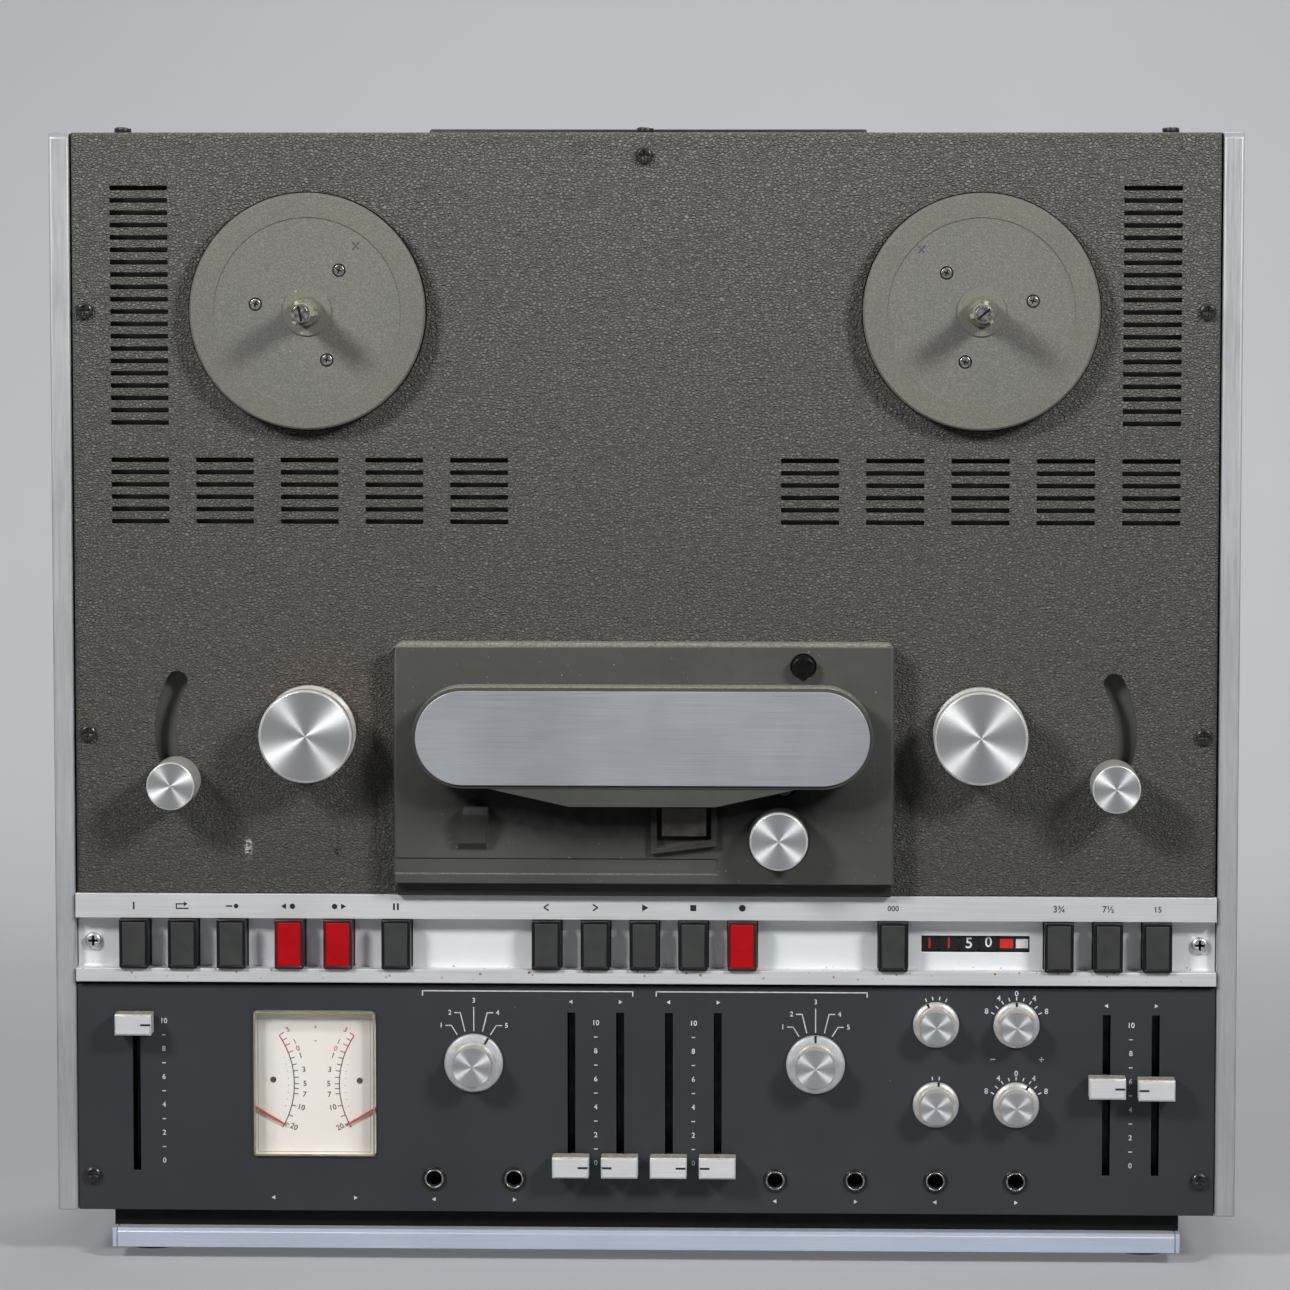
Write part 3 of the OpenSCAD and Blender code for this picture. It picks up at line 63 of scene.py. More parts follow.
def add(tree, kind, wires=None, **settings):
    """Adds a node to a material or a group, with its options set and its sockets set or wired."""
    new = tree.nodes.new("ShaderNode" + kind)
    for option, value in settings.items():
        setattr(new, option, value)
    for socket, value in (wires or {}).items():
        if isinstance(value, bpy.types.NodeSocket):
            tree.links.new(value, new.inputs[socket])
        else:
            new.inputs[socket].default_value = value
    return new


def finish(name, colour, rough, metal=0.0, **plain):
    """A new finish: one shader with these values all over, ready for patterns to be wired in."""
    colour = (*tint(*colour), 1)
    skin = bpy.data.materials.new(name)
    skin.use_nodes = True
    shader = skin.node_tree.nodes["Principled BSDF"]
    values = {"Base Color": colour, "Roughness": rough, "Metallic": metal}
    values.update({socket.replace("_", " "): value for socket, value in plain.items()})
    for socket, value in values.items():
        shader.inputs[socket].default_value = value
    skin.diffuse_color = colour
    return skin


def wired(skin, socket, output):
    """Wires a pattern into a socket of a finish's shader."""
    skin.node_tree.links.new(output, skin.node_tree.nodes["Principled BSDF"].inputs[socket])


def blended(tree, share, under, over):
    """The colour under, covered by the colour over where the share is 1."""
    mix = add(tree, "Mix", data_type="RGBA")
    for socket, value in ((mix.inputs[0], share), (mix.inputs[6], under), (mix.inputs[7], over)):
        if isinstance(value, bpy.types.NodeSocket):
            tree.links.new(value, socket)
        else:
            socket.default_value = (*tint(*value), 1) if isinstance(value, tuple) else value
    return mix.outputs[2]


def between(tree, value, low, high, to_low=0.0, to_high=1.0):
    """Maps a value from one range to another, and holds it there at the ends."""
    spread = add(tree, "MapRange", {"Value": value, "From Min": low, "From Max": high,
                                    "To Min": to_low, "To Max": to_high}, clamp=True)
    return spread.outputs[0]


def coloured(skin, share, under, over):
    """Wires a blend of two colours into a finish."""
    wired(skin, "Base Color", blended(skin.node_tree, share, under, over))


def times(tree, one, other, **options):
    """The product of two values."""
    return add(tree, "Math", {0: one, 1: other}, operation="MULTIPLY", **options).outputs[0]


def place_on(tree):
    """The place on a piece, in metres."""
    return add(tree, "TexCoord").outputs["Object"]


def along(tree, vector, axis):
    """One part of a vector: 0 for x, 1 for y, 2 for z."""
    return add(tree, "SeparateXYZ", {0: vector}).outputs[axis]


def length(tree, vector):
    """How long a vector is."""
    return add(tree, "VectorMath", {0: vector}, operation="LENGTH").outputs["Value"]


def noise(tree, spot, fineness, detail, **more):
    """Smooth noise, with so many waves to the metre."""
    return add(tree, "TexNoise", {"Vector": spot, "Scale": fineness, "Detail": detail, **more}).outputs[0]


def scaled(tree, vector, by):
    """A vector with each of its parts multiplied."""
    return add(tree, "VectorMath", {0: vector, 1: by}, operation="MULTIPLY").outputs[0]


def effect(name, inputs, output):
    """Starts a shared effect as a node group with numbers going in and one value coming out."""
    group = bpy.data.node_groups.new(name, "ShaderNodeTree")
    for label, value in inputs.items():
        kind = "NodeSocketVector" if isinstance(value, tuple) else "NodeSocketFloat"
        socket = group.interface.new_socket(label, in_out="INPUT", socket_type=kind)
        socket.default_value = value
    group.interface.new_socket(output, in_out="OUTPUT", socket_type="NodeSocketFloat")
    way_in = group.nodes.new("NodeGroupInput")
    way_out = group.nodes.new("NodeGroupOutput")
    return group, way_in.outputs, way_out.inputs[output]


# Soft clouding of a surface.
clouding, given, result = effect("clouding", {"Fineness": 40.0}, "Cloud")
broad = noise(clouding, place_on(clouding), given["Fineness"], 4.0)
clouding.links.new(between(clouding, broad, 0.32, 0.68), result)


def clouds(skin, fineness):
    """The clouding effect in a finish."""
    return add(skin.node_tree, "Group", {"Fineness": fineness}, node_tree=clouding).outputs[0]


def clouded(name, plain, low, high, fineness, rough, metal=0.0, **more):
    """A finish clouded between two colours."""
    skin = finish(name, plain, rough, metal, **more)
    coloured(skin, clouds(skin, fineness), low, high)
    return skin


def pick(piece, kind, rule):
    """Picks the corners, edges or faces of a piece that a rule says yes to, and starts editing them."""
    only(piece)
    bpy.ops.object.mode_set(mode="EDIT")
    bpy.ops.mesh.select_mode(type=kind)
    bpy.ops.mesh.select_all(action="DESELECT")
    bpy.ops.object.mode_set(mode="OBJECT")
    parts = {"VERT": piece.data.vertices, "EDGE": piece.data.edges, "FACE": piece.data.polygons}[kind]
    for part in parts:
        part.select = rule(part)
    bpy.ops.object.mode_set(mode="EDIT")


def only(piece):
    """Makes a piece the only one picked."""
    bpy.ops.object.select_all(action="DESELECT")
    piece.select_set(True)
    bpy.context.view_layer.objects.active = piece


paper_width, paper_depth, paper_rise, paper_bend = 9, 5.8, 3.2, 0.7
bpy.ops.object.select_all(action="DESELECT")
bpy.ops.mesh.primitive_plane_add(size=1, location=(0, -1.3, 0))
sweep = bpy.context.object
sweep.name = "paper_sweep"
sweep.scale = (paper_width, paper_depth, 1)
bpy.ops.object.transform_apply()
pick(sweep, "EDGE", lambda edge: all(sweep.data.vertices[i].co.y > 1 for i in edge.vertices))
bpy.ops.mesh.extrude_region_move(TRANSFORM_OT_translate={"value": (0, 0, paper_rise)})
bpy.ops.object.mode_set(mode="OBJECT")
pick(sweep, "EDGE", lambda edge: all(sweep.data.vertices[i].co.y > 1 and sweep.data.vertices[i].co.z < 0.1
                                     for i in edge.vertices))
bpy.ops.mesh.bevel(offset=paper_bend, segments=16, affect="EDGES")
bpy.ops.mesh.select_all(action="SELECT")
bpy.ops.mesh.normals_make_consistent(inside=False)
bpy.ops.object.mode_set(mode="OBJECT")
if max(sweep.data.polygons, key=lambda sheet: sheet.area).normal.z < 0:
    bpy.ops.object.mode_set(mode="EDIT")
    bpy.ops.mesh.flip_normals()
    bpy.ops.object.mode_set(mode="OBJECT")
bpy.ops.object.shade_smooth()
paper = clouded("sweep_paper", (172, 172, 176), (169, 169, 173), (175, 175, 179), 3.0, 0.9,
                Specular_IOR_Level=0.1)
tree = paper.node_tree


def when_seen(tree, unseen, seen):
    """One strength where light only falls on things, another where it is seen, mirrored or seen through."""
    path = add(tree, "LightPath").outputs
    looks = path["Is Camera Ray"]
    for way in ("Is Glossy Ray", "Is Transmission Ray"):
        looks = add(tree, "Math", {0: looks, 1: path[way]}, operation="ADD").outputs[0]
    return between(tree, looks, 0.0, 1.0, unseen, seen)


away = length(tree, place_on(tree))
shine = times(tree, when_seen(tree, 0.0, 1.0), between(tree, away, 0.35, 1.5, 0.26, 0.53))
glow = add(tree, "Emission", {"Color": (*tint(190, 191, 195), 1), "Strength": shine}).outputs[0]
lit = add(tree, "AddShader", {0: tree.nodes["Principled BSDF"].outputs[0], 1: glow}).outputs[0]
behind = add(tree, "NewGeometry").outputs["Backfacing"]
see_through = add(tree, "BsdfTransparent").outputs[0]
sheet = add(tree, "MixShader", {0: behind, 1: lit, 2: see_through})
tree.links.new(sheet.outputs[0], tree.nodes["Material Output"].inputs["Surface"])
sweep.data.materials.append(paper)

for place, aim, power, width, spread in (((1.25, -1.5, 1.3), (0, -0.05, 0.56), 4.95, 0.42, 66),
                                         ((-1.15, -1.5, 1.33), (0, -0.05, 0.56), 4.8, 0.42, 66),
                                         ((0.2, 1.2, 1.5), (0, 0.05, 0.3), 9.0, 0.9, 180)):
    bpy.ops.object.select_all(action="DESELECT")
    bpy.ops.object.light_add(type="AREA", location=place)
    soft_box = bpy.context.object
    soft_box.rotation_euler = (Vector(aim) - Vector(place)).to_track_quat("-Z", "Y").to_euler()
    soft_box.data.size = width
    soft_box.data.spread = radians(spread)
    soft_box.data.energy = power
    soft_box.visible_camera = False
room = bpy.data.worlds.new("grey_room")
room.use_nodes = True
tree = room.node_tree
depth = along(tree, add(tree, "TexCoord").outputs["Generated"], 1)
sky = tree.nodes["Background"].inputs
sky["Color"].default_value = (*tint(190, 191, 195), 1)
tree.links.new(when_seen(tree, 0.07, between(tree, depth, -0.4, 0.3, 0.4, 0.95)), sky["Strength"])
bpy.context.scene.world = room


# The cabinet: a folded sheet-steel box and a rear cover screwed to it, both in dark crinkle enamel.
# The top has a pocket for the handle, the cover has vents and holes for the sockets.
def shaped(piece, kind, **settings):
    """Puts a modifier on a piece and applies it."""
    only(piece)
    change = piece.modifiers.new(kind.lower(), kind)
    for option, value in settings.items():
        setattr(change, option, value)
    bpy.ops.object.modifier_apply(modifier=change.name)


def broken(piece, edge, steps=2):
    """Breaks the sharp edges of a piece with a small round in millimetres; flat faces stay flat."""
    piece.data.materials.append(None)
    piece.data.materials.append(None)
    shaped(piece, "BEVEL", width=edge / 1000, segments=steps, limit_method="ANGLE", angle_limit=radians(32),
           use_clamp_overlap=False, loop_slide=False, material=1)
    bpy.ops.object.shade_smooth_by_angle(angle=radians(50))
    beside, rounded = {}, set()
    for face in piece.data.polygons:
        if face.material_index == 1:
            rounded.add(face.index)
        else:
            for side in face.edge_keys:
                beside.setdefault(side, []).append(face)
    for pair in beside.values():
        if len(pair) == 2 and radians(0.4) < pair[0].normal.angle(pair[1].normal, 0) < radians(20):
            rounded.update((pair[0].index, pair[1].index))
    for face in piece.data.polygons:
        face.use_smooth = face.index in rounded
        face.material_index = 0
    piece.data.materials.clear()


def from_solid(name, node, edge, steps=2, weld=0.002):
    """Starts a piece from its solid: corners closer than the weld are merged, and edges broken."""
    piece = bpy.data.objects.new(name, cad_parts[node].data.copy())
    bpy.context.collection.objects.link(piece)
    piece.data.materials.clear()
    only(piece)
    if piece.data.has_custom_normals:
        bpy.ops.mesh.customdata_custom_splitnormals_clear()
    bpy.ops.object.mode_set(mode="EDIT")
    bpy.ops.mesh.select_all(action="SELECT")
    bpy.ops.mesh.remove_doubles(threshold=weld / 1000)
    bpy.ops.object.mode_set(mode="OBJECT")
    broken(piece, edge, steps)
    return piece


def fitted(piece, body, slot, skin, *nodes):
    """Finishes a piece, lets it ride on its body, and lets it stand for its solids."""
    piece.data.materials.append(skin)
    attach(piece, body)
    if nodes:
        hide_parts(*nodes)
    return piece


def clad(name, node, edge, slot, skin, body="recorder_body", **rounding):
    """A piece made from one solid, which it stands for."""
    fitted(from_solid(name, node, edge, **rounding), body, slot, skin, node)


# Settled dust: a thin film on what faces up, patchy.
dust_film, given, result = effect("dust_film", {"Fineness": 500.0, "Cover": 0.5}, "Dust")
up = along(dust_film, add(dust_film, "NewGeometry").outputs["Normal"], 2)
patch = between(dust_film, noise(dust_film, place_on(dust_film), given["Fineness"], 5.0), 0.3, 0.62)
lying = times(dust_film, patch, between(dust_film, up, 0.35, 0.95))
dust_film.links.new(times(dust_film, lying, given["Cover"]), result)


def dust(skin, fineness, cover):
    """The dust film in a finish."""
    film = add(skin.node_tree, "Group", {"Fineness": fineness, "Cover": cover}, node_tree=dust_film)
    return film.outputs[0]


def bumped(skin, height, strength, depth):
    """Wires a relief into a finish, this deep in metres."""
    relief = add(skin.node_tree, "Bump", {"Height": height, "Strength": strength, "Distance": depth})
    wired(skin, "Normal", relief.outputs[0])


def pattern_in(skin, socket="Base Color"):
    """The pattern that is wired into a socket of a finish's shader."""
    return skin.node_tree.nodes["Principled BSDF"].inputs[socket].links[0].from_socket


def covered(skin, share, colour):
    """Covers the colour of a finish with another where the share is 1."""
    coloured(skin, share, pattern_in(skin), colour)


crinkle = clouded("crinkle_enamel", (40, 41, 42), (38, 39, 40), (44, 45, 46), 25.0, 0.5)
tree = crinkle.node_tree
wrinkles = noise(tree, place_on(tree), 1100.0, 3.0, Distortion=1.2)
bumped(crinkle, wrinkles, 0.35, 0.0003)
covered(crinkle, dust(crinkle, 900.0, 0.3), (104, 101, 94))
wired(crinkle, "Roughness", between(tree, wrinkles, 0.3, 0.7, 0.42, 0.62))
clad("cabinet_box", "cabinet_shell", 0.4, "cabinet_paint", crinkle)
clad("rear_sheet", "rear_cover", 0.3, "cabinet_paint", crinkle)


# What stands inside: the cast chassis, the motors and the boards with the transformer.
# They show only as dark shapes through the vents, so they keep their plain solids.
def dressed(node, skin):
    """Gives a solid that stays as it is its finish."""
    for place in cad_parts[node].material_slots:
        place.material = skin


def uneven(skin, fineness, low, high):
    """Wires a roughness into a finish that wanders between two values."""
    wired(skin, "Roughness", between(skin.node_tree, clouds(skin, fineness), 0.0, 1.0, low, high))


# The capstan is painted near-black: painted shade, for the shadow under the head cover where it shows.
for node, dark, pale, metal in (("chassis_frame", (15, 14, 13), (22, 21, 20), 0.1),
                                ("drive_motors", (14, 14, 15), (22, 22, 23), 0.1),
                                ("electronics", (12, 12, 12), (20, 21, 20), 0.1),
                                ("pinch_arm", (70, 71, 72), (96, 97, 98), 0.7),
                                ("tape_heads", (30, 28, 25), (64, 60, 53), 0.1),
                                ("capstan", (20, 20, 20), (34, 34, 33), 0.1)):
    bare = clouded(node + "_surface", dark, dark, pale, 120.0, 0.45, metal)
    if node == "chassis_frame":
        tree = bare.node_tree
        height = along(tree, place_on(tree), 2)
        by_the_slots = times(tree, between(tree, height, 0.165, 0.17), between(tree, height, 0.265, 0.26))
        covered(bare, by_the_slots, (100, 100, 97))
    uneven(bare, 300.0, 0.3, 0.5)
    dressed(node, bare)

# The base: a black plinth on four pads, set back under the cabinet,
# with an aluminium rail along its front that ends in two turned-up caps.
plinth_black = clouded("plinth_black", (10, 10, 10), (8, 8, 8), (14, 13, 12), 30.0, 0.6,
                       Specular_IOR_Level=0.2)
covered(plinth_black, dust(plinth_black, 200.0, 0.3), (74, 66, 56))
uneven(plinth_black, 200.0, 0.5, 0.7)
clad("plinth", "base_plinth", 0.4, "base_black", plinth_black)

# Hairlines: the fine straight marks of a brushing wheel, stretched along one direction.
hairlines, given, result = effect("hairlines", {"Stretch": (20.0, 20.0, 3000.0)}, "Lines")
drawn = scaled(hairlines, place_on(hairlines), given["Stretch"])
marks = noise(hairlines, drawn, 1.0, 3.0, Roughness=0.7)
hairlines.links.new(between(hairlines, marks, 0.3, 0.7), result)


def brushed(name, low, high, stretch, rough, metal):
    """Brushed aluminium: hairlines in one direction, clouded a little, with dust where it faces up."""
    skin = finish(name, high, rough, metal)
    tree = skin.node_tree
    lines = add(tree, "Group", {"Stretch": stretch}, node_tree=hairlines).outputs[0]
    share = add(tree, "Math", {0: lines, 1: clouds(skin, 18.0)}, operation="ADD").outputs[0]
    coloured(skin, between(tree, share, 0.2, 1.8), low, high)
    covered(skin, dust(skin, 300.0, 0.3), (186, 176, 160))
    wired(skin, "Roughness", between(tree, lines, 0.0, 1.0, rough - 0.08, rough + 0.1))
    bumped(skin, lines, 0.12, 0.00005)
    return skin


rail_metal = brushed("rail_aluminium", (189, 197, 215), (202, 210, 227), (25.0, 2500.0, 2500.0), 0.42, 0.25)
clad("front_rail", "base_rail", 0.35, "satin_aluminium", rail_metal)

# The two side panels: thick aluminium plates with a satin grain, bolted on from inside.
# Their front edges frame the deck, and their top ends stand level with it.
side_metal = brushed("side_aluminium", (163, 167, 168), (187, 190, 191), (1400.0, 1400.0, 60.0), 0.46, 0.4)
clad("side_plates", "side_panels", 0.5, "satin_aluminium", side_metal)

# The handle: a black moulded bail that folds flat into the pocket of the top.
# It turns on two pins in the pocket's ends.
handle_skin = clouded("handle_plastic", (24, 26, 25), (20, 22, 21), (32, 35, 33), 60.0, 0.4)
covered(handle_skin, dust(handle_skin, 250.0, 0.4), (90, 88, 80))
uneven(handle_skin, 400.0, 0.32, 0.5)
clad("handle_bail", "carry_handle", 0.9, "handle_black", handle_skin, "carry_handle", steps=3)

# The deck cover: one sheet with folded edges, coated in a dark olive-grey plastic with a leather grain,
# with vent slots in two columns and two rows, and curved slots for the tension arms.
stray, given, result = effect("stray_specks", {"Spacing": 60.0, "Size": 0.02, "Share": 0.2}, "Specks")
grains = add(stray, "TexVoronoi", {"Vector": place_on(stray), "Scale": given["Spacing"]}, feature="F1")
chance = add(stray, "SeparateColor", {0: grains.outputs[1]})
wide = times(stray, given["Size"], between(stray, chance.outputs[1], 0.0, 1.0, 0.35, 1.0))
inside = add(stray, "Math", {0: grains.outputs[0], 1: wide}, operation="LESS_THAN").outputs[0]
kept = add(stray, "Math", {0: chance.outputs[0], 1: given["Share"]}, operation="LESS_THAN").outputs[0]
stray.links.new(times(stray, inside, kept), result)


def specks(skin, spacing, size, share):
    """Stray specks in a finish: so many to the metre, of this size in their spacing, this share of them."""
    return add(skin.node_tree, "Group", {"Spacing": spacing, "Size": size, "Share": share},
               node_tree=stray).outputs[0]


leather = finish("grained_coating", (112, 111, 106), 0.6, Specular_IOR_Level=0.3)
tree = leather.node_tree
spot = place_on(tree)
wander = add(tree, "TexNoise", {"Vector": spot, "Scale": 420.0, "Detail": 1.0}).outputs["Color"]
shift = scaled(tree, wander, (0.0014, 0.0014, 0.0014))
moved = add(tree, "VectorMath", {0: spot, 1: shift}, operation="ADD").outputs[0]
moved = scaled(tree, moved, (0.8, 1.0, 1.3))
creases = add(tree, "TexVoronoi", {"Vector": moved, "Scale": 760.0}, feature="DISTANCE_TO_EDGE").outputs[0]
pebbles = between(tree, creases, 0.0, 0.26)
folds = noise(tree, moved, 850.0, 1.0, Distortion=0.9)
relief = add(tree, "Math", {0: pebbles, 1: 0.35, 2: folds}, operation="MULTIPLY_ADD").outputs[0]
bumped(leather, relief, 1.0, 0.0017)
height = along(tree, spot, 2)
# The coating is painted lighter towards the top of the deck and darker towards the bottom: painted light.
ground_and_painted_light = blended(tree, between(tree, height, 0.16, 0.47), (93, 92, 88), (129, 128, 122))
ground_and_painted_light = blended(tree, between(tree, clouds(leather, 9.0), 0.0, 1.0, 0.0, 0.2), ground_and_painted_light, (116, 114, 107))
# The grain's creases are painted darker than its pebble tops: partly dirt in the creases, partly painted
# shade.
coloured(leather, pebbles, (84, 83, 79), ground_and_painted_light)


def near(tree, spot, x, z, width, tall):
    """A soft spot on the deck round a place in millimetres, this wide and tall, full in its middle."""
    flat = add(tree, "VectorMath", {0: spot, 1: (x / 1000, 0, z / 1000)}, operation="SUBTRACT").outputs[0]
    return between(tree, length(tree, scaled(tree, flat, (2000 / width, 0, 2000 / tall))), 1.0, 0.4)


patchy = between(tree, folds, 0.4, 0.6)
for x, z, width, tall, share, colour in ((-129.0, 228.0, 62.0, 60.0, 0.5, (122, 92, 74)),
                                         (-162.0, 171.0, 4.0, 11.0, 1.4, (214, 212, 204)),
                                         (-125.4, 169.5, 3.6, 6.0, 1.5, (62, 36, 24)),
                                         (-125.2, 176.5, 2.2, 16.0, 0.8, (84, 58, 44))):
    mark = times(tree, near(tree, spot, x, z, width, tall), patchy)
    covered(leather, times(tree, mark, share, use_clamp=True), colour)
covered(leather, specks(leather, 160.0, 0.09, 0.04), (156, 149, 134))
covered(leather, specks(leather, 45.0, 0.05, 0.06), (158, 112, 76))
covered(leather, dust(leather, 900.0, 0.45), (150, 144, 128))
wired(leather, "Roughness", between(tree, pebbles, 0.0, 1.0, 0.72, 0.56))
clad("deck_sheet", "deck_cover", 0.35, "deck_paint", leather)


# The screws: black cross-head screws all round, and two bright ones in the transport strip.
# They come from one solid, and the two kinds are parted by their place.
def screws_only(name, wanted):
    """The screws whose places a rule wants, with their heads' edges broken."""
    piece = from_solid(name, "screws", 0.18)
    pick(piece, "VERT", lambda corner: not wanted(corner.co))
    bpy.ops.mesh.delete(type="VERT")
    bpy.ops.object.mode_set(mode="OBJECT")
    return piece


def in_strip(place):
    """Whether a place is at the strip's two screws."""
    return 0.122 < place.z < 0.142 and place.y < 0.03


black_screw = clouded("blacked_steel", (18, 18, 18), (18, 18, 18), (56, 56, 55), 900.0, 0.2, 0.2)
covered(black_screw, dust(black_screw, 900.0, 0.6), (128, 122, 110))
uneven(black_screw, 1500.0, 0.16, 0.38)
bright_screw = clouded("plated_steel", (214, 214, 212), (190, 188, 182), (224, 224, 223), 900.0, 0.3, 0.85)
uneven(bright_screw, 1500.0, 0.2, 0.42)
deck_screws = screws_only("black_screws", lambda place: not in_strip(place))
fitted(deck_screws, "recorder_body", "screw_black", black_screw, "screws")
fitted(screws_only("strip_screws", in_strip), "recorder_body", "screw_black", bright_screw, "screws")


# The reel tables: turned discs in warm grey paint with a groove, each held to its hub by three screws,
# with a three-lug spindle whose slotted tip locks the reel, and a black ring behind the disc's edge:
# painted shadow in the gap round it.
deck_face = 0.0525


def at(x, out, z):
    """A place in metres, from millimetres to the right, out from the deck's face and up from the floor."""
    return Vector((x / 1000, -deck_face - out / 1000, z / 1000))


def turned(name, x, z, outline, edge=0.0, around=64):
    """Turns a piece on an axis square to the deck, from an outline of distances out and radii."""
    bpy.ops.object.select_all(action="DESELECT")
    out, radius = outline[0]
    bpy.ops.mesh.primitive_circle_add(vertices=around, radius=radius / 1000, fill_type="NGON",
                                      location=at(x, out, z), rotation=(radians(90), 0, 0))
    piece = bpy.context.object
    piece.name = name
    bpy.ops.object.transform_apply()
    bpy.ops.object.mode_set(mode="EDIT")
    bpy.ops.mesh.select_all(action="SELECT")
    for next_out, next_radius in outline[1:]:
        bpy.ops.mesh.extrude_region_move(TRANSFORM_OT_translate={"value": (0, (out - next_out) / 1000, 0)})
        share = next_radius / radius
        bpy.ops.transform.resize(value=(share, 1, share), center_override=at(x, next_out, z))
        out, radius = next_out, next_radius
    bpy.ops.mesh.select_all(action="SELECT")
    bpy.ops.mesh.normals_make_consistent(inside=False)
    bpy.ops.object.mode_set(mode="OBJECT")
    if edge:
        broken(piece, edge)
    else:
        bpy.ops.object.shade_smooth_by_angle(angle=radians(40))
    away = piece.data.attributes.new("from_axis", "FLOAT_VECTOR", "POINT")
    middle = at(x, 0, z)
    for place, corner in zip(away.data, piece.data.vertices):
        place.vector = (corner.co.x - middle.x, 0, corner.co.z - middle.z)
    return piece


def block(name, left, right, back, front, low, high, edge=0.0, turn=0.0):
    """A block between these limits in millimetres, turned clockwise about its middle, edges broken."""
    start, end = at(left, front, low), at(right, back, high)
    bpy.ops.object.select_all(action="DESELECT")
    bpy.ops.mesh.primitive_cube_add(size=1, location=(start + end) / 2, rotation=(0, radians(turn), 0),
                                    scale=end - start)
    piece = bpy.context.object
    piece.name = name
    bpy.ops.object.transform_apply()
    if edge:
        broken(piece, edge)
    return piece


def joined(name, *pieces):
    """Joins pieces into one."""
    bpy.ops.object.select_all(action="DESELECT")
    for piece in pieces:
        piece.select_set(True)
    bpy.context.view_layer.objects.active = pieces[0]
    bpy.ops.object.join()
    pieces[0].name = name
    return pieces[0]


def deepest(node):
    """How far in from the deck's face a solid reaches, in millimetres, as a distance out."""
    return -(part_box(node)[1].y + deck_face) * 1000


def from_axis(tree):
    """How far from the axis of a turned piece a place is, in metres."""
    return length(tree, add(tree, "Attribute", attribute_name="from_axis").outputs["Vector"])


reel_paint = finish("reel_paint", (107, 107, 102), 0.5)
tree = reel_paint.node_tree
stipple = noise(tree, place_on(tree), 1500.0, 2.0)
bumped(reel_paint, stipple, 0.7, 0.0003)
radius = from_axis(tree)
coloured(reel_paint, between(tree, radius, 0.036, 0.039), (107, 107, 102), (105, 105, 96))
covered(reel_paint, times(tree, between(tree, radius, 0.0105, 0.0085), 0.5), (122, 118, 100))
covered(reel_paint, times(tree, clouds(reel_paint, 30.0), 0.22), (124, 119, 102))
covered(reel_paint, between(tree, stipple, 0.34, 0.66, 0.26, 0.0), (70, 70, 66))
covered(reel_paint, between(tree, stipple, 0.5, 0.8, 0.0, 0.5), (140, 139, 132))
covered(reel_paint, specks(reel_paint, 420.0, 0.2, 0.06), (150, 146, 132))
wired(reel_paint, "Roughness", between(tree, stipple, 0.3, 0.7, 0.42, 0.58))
spindle_steel = clouded("spindle_steel", (150, 149, 145), (104, 102, 98), (190, 189, 185), 700.0, 0.3, 0.85)
uneven(spindle_steel, 700.0, 0.18, 0.36)
lug_plastic = clouded("lug_plastic", (176, 171, 154), (158, 151, 132), (194, 190, 174), 300.0, 0.4)
reel_x, reel_z = 136.0, 390.0
screw_ring, lug_ring = 21.1, 3.3
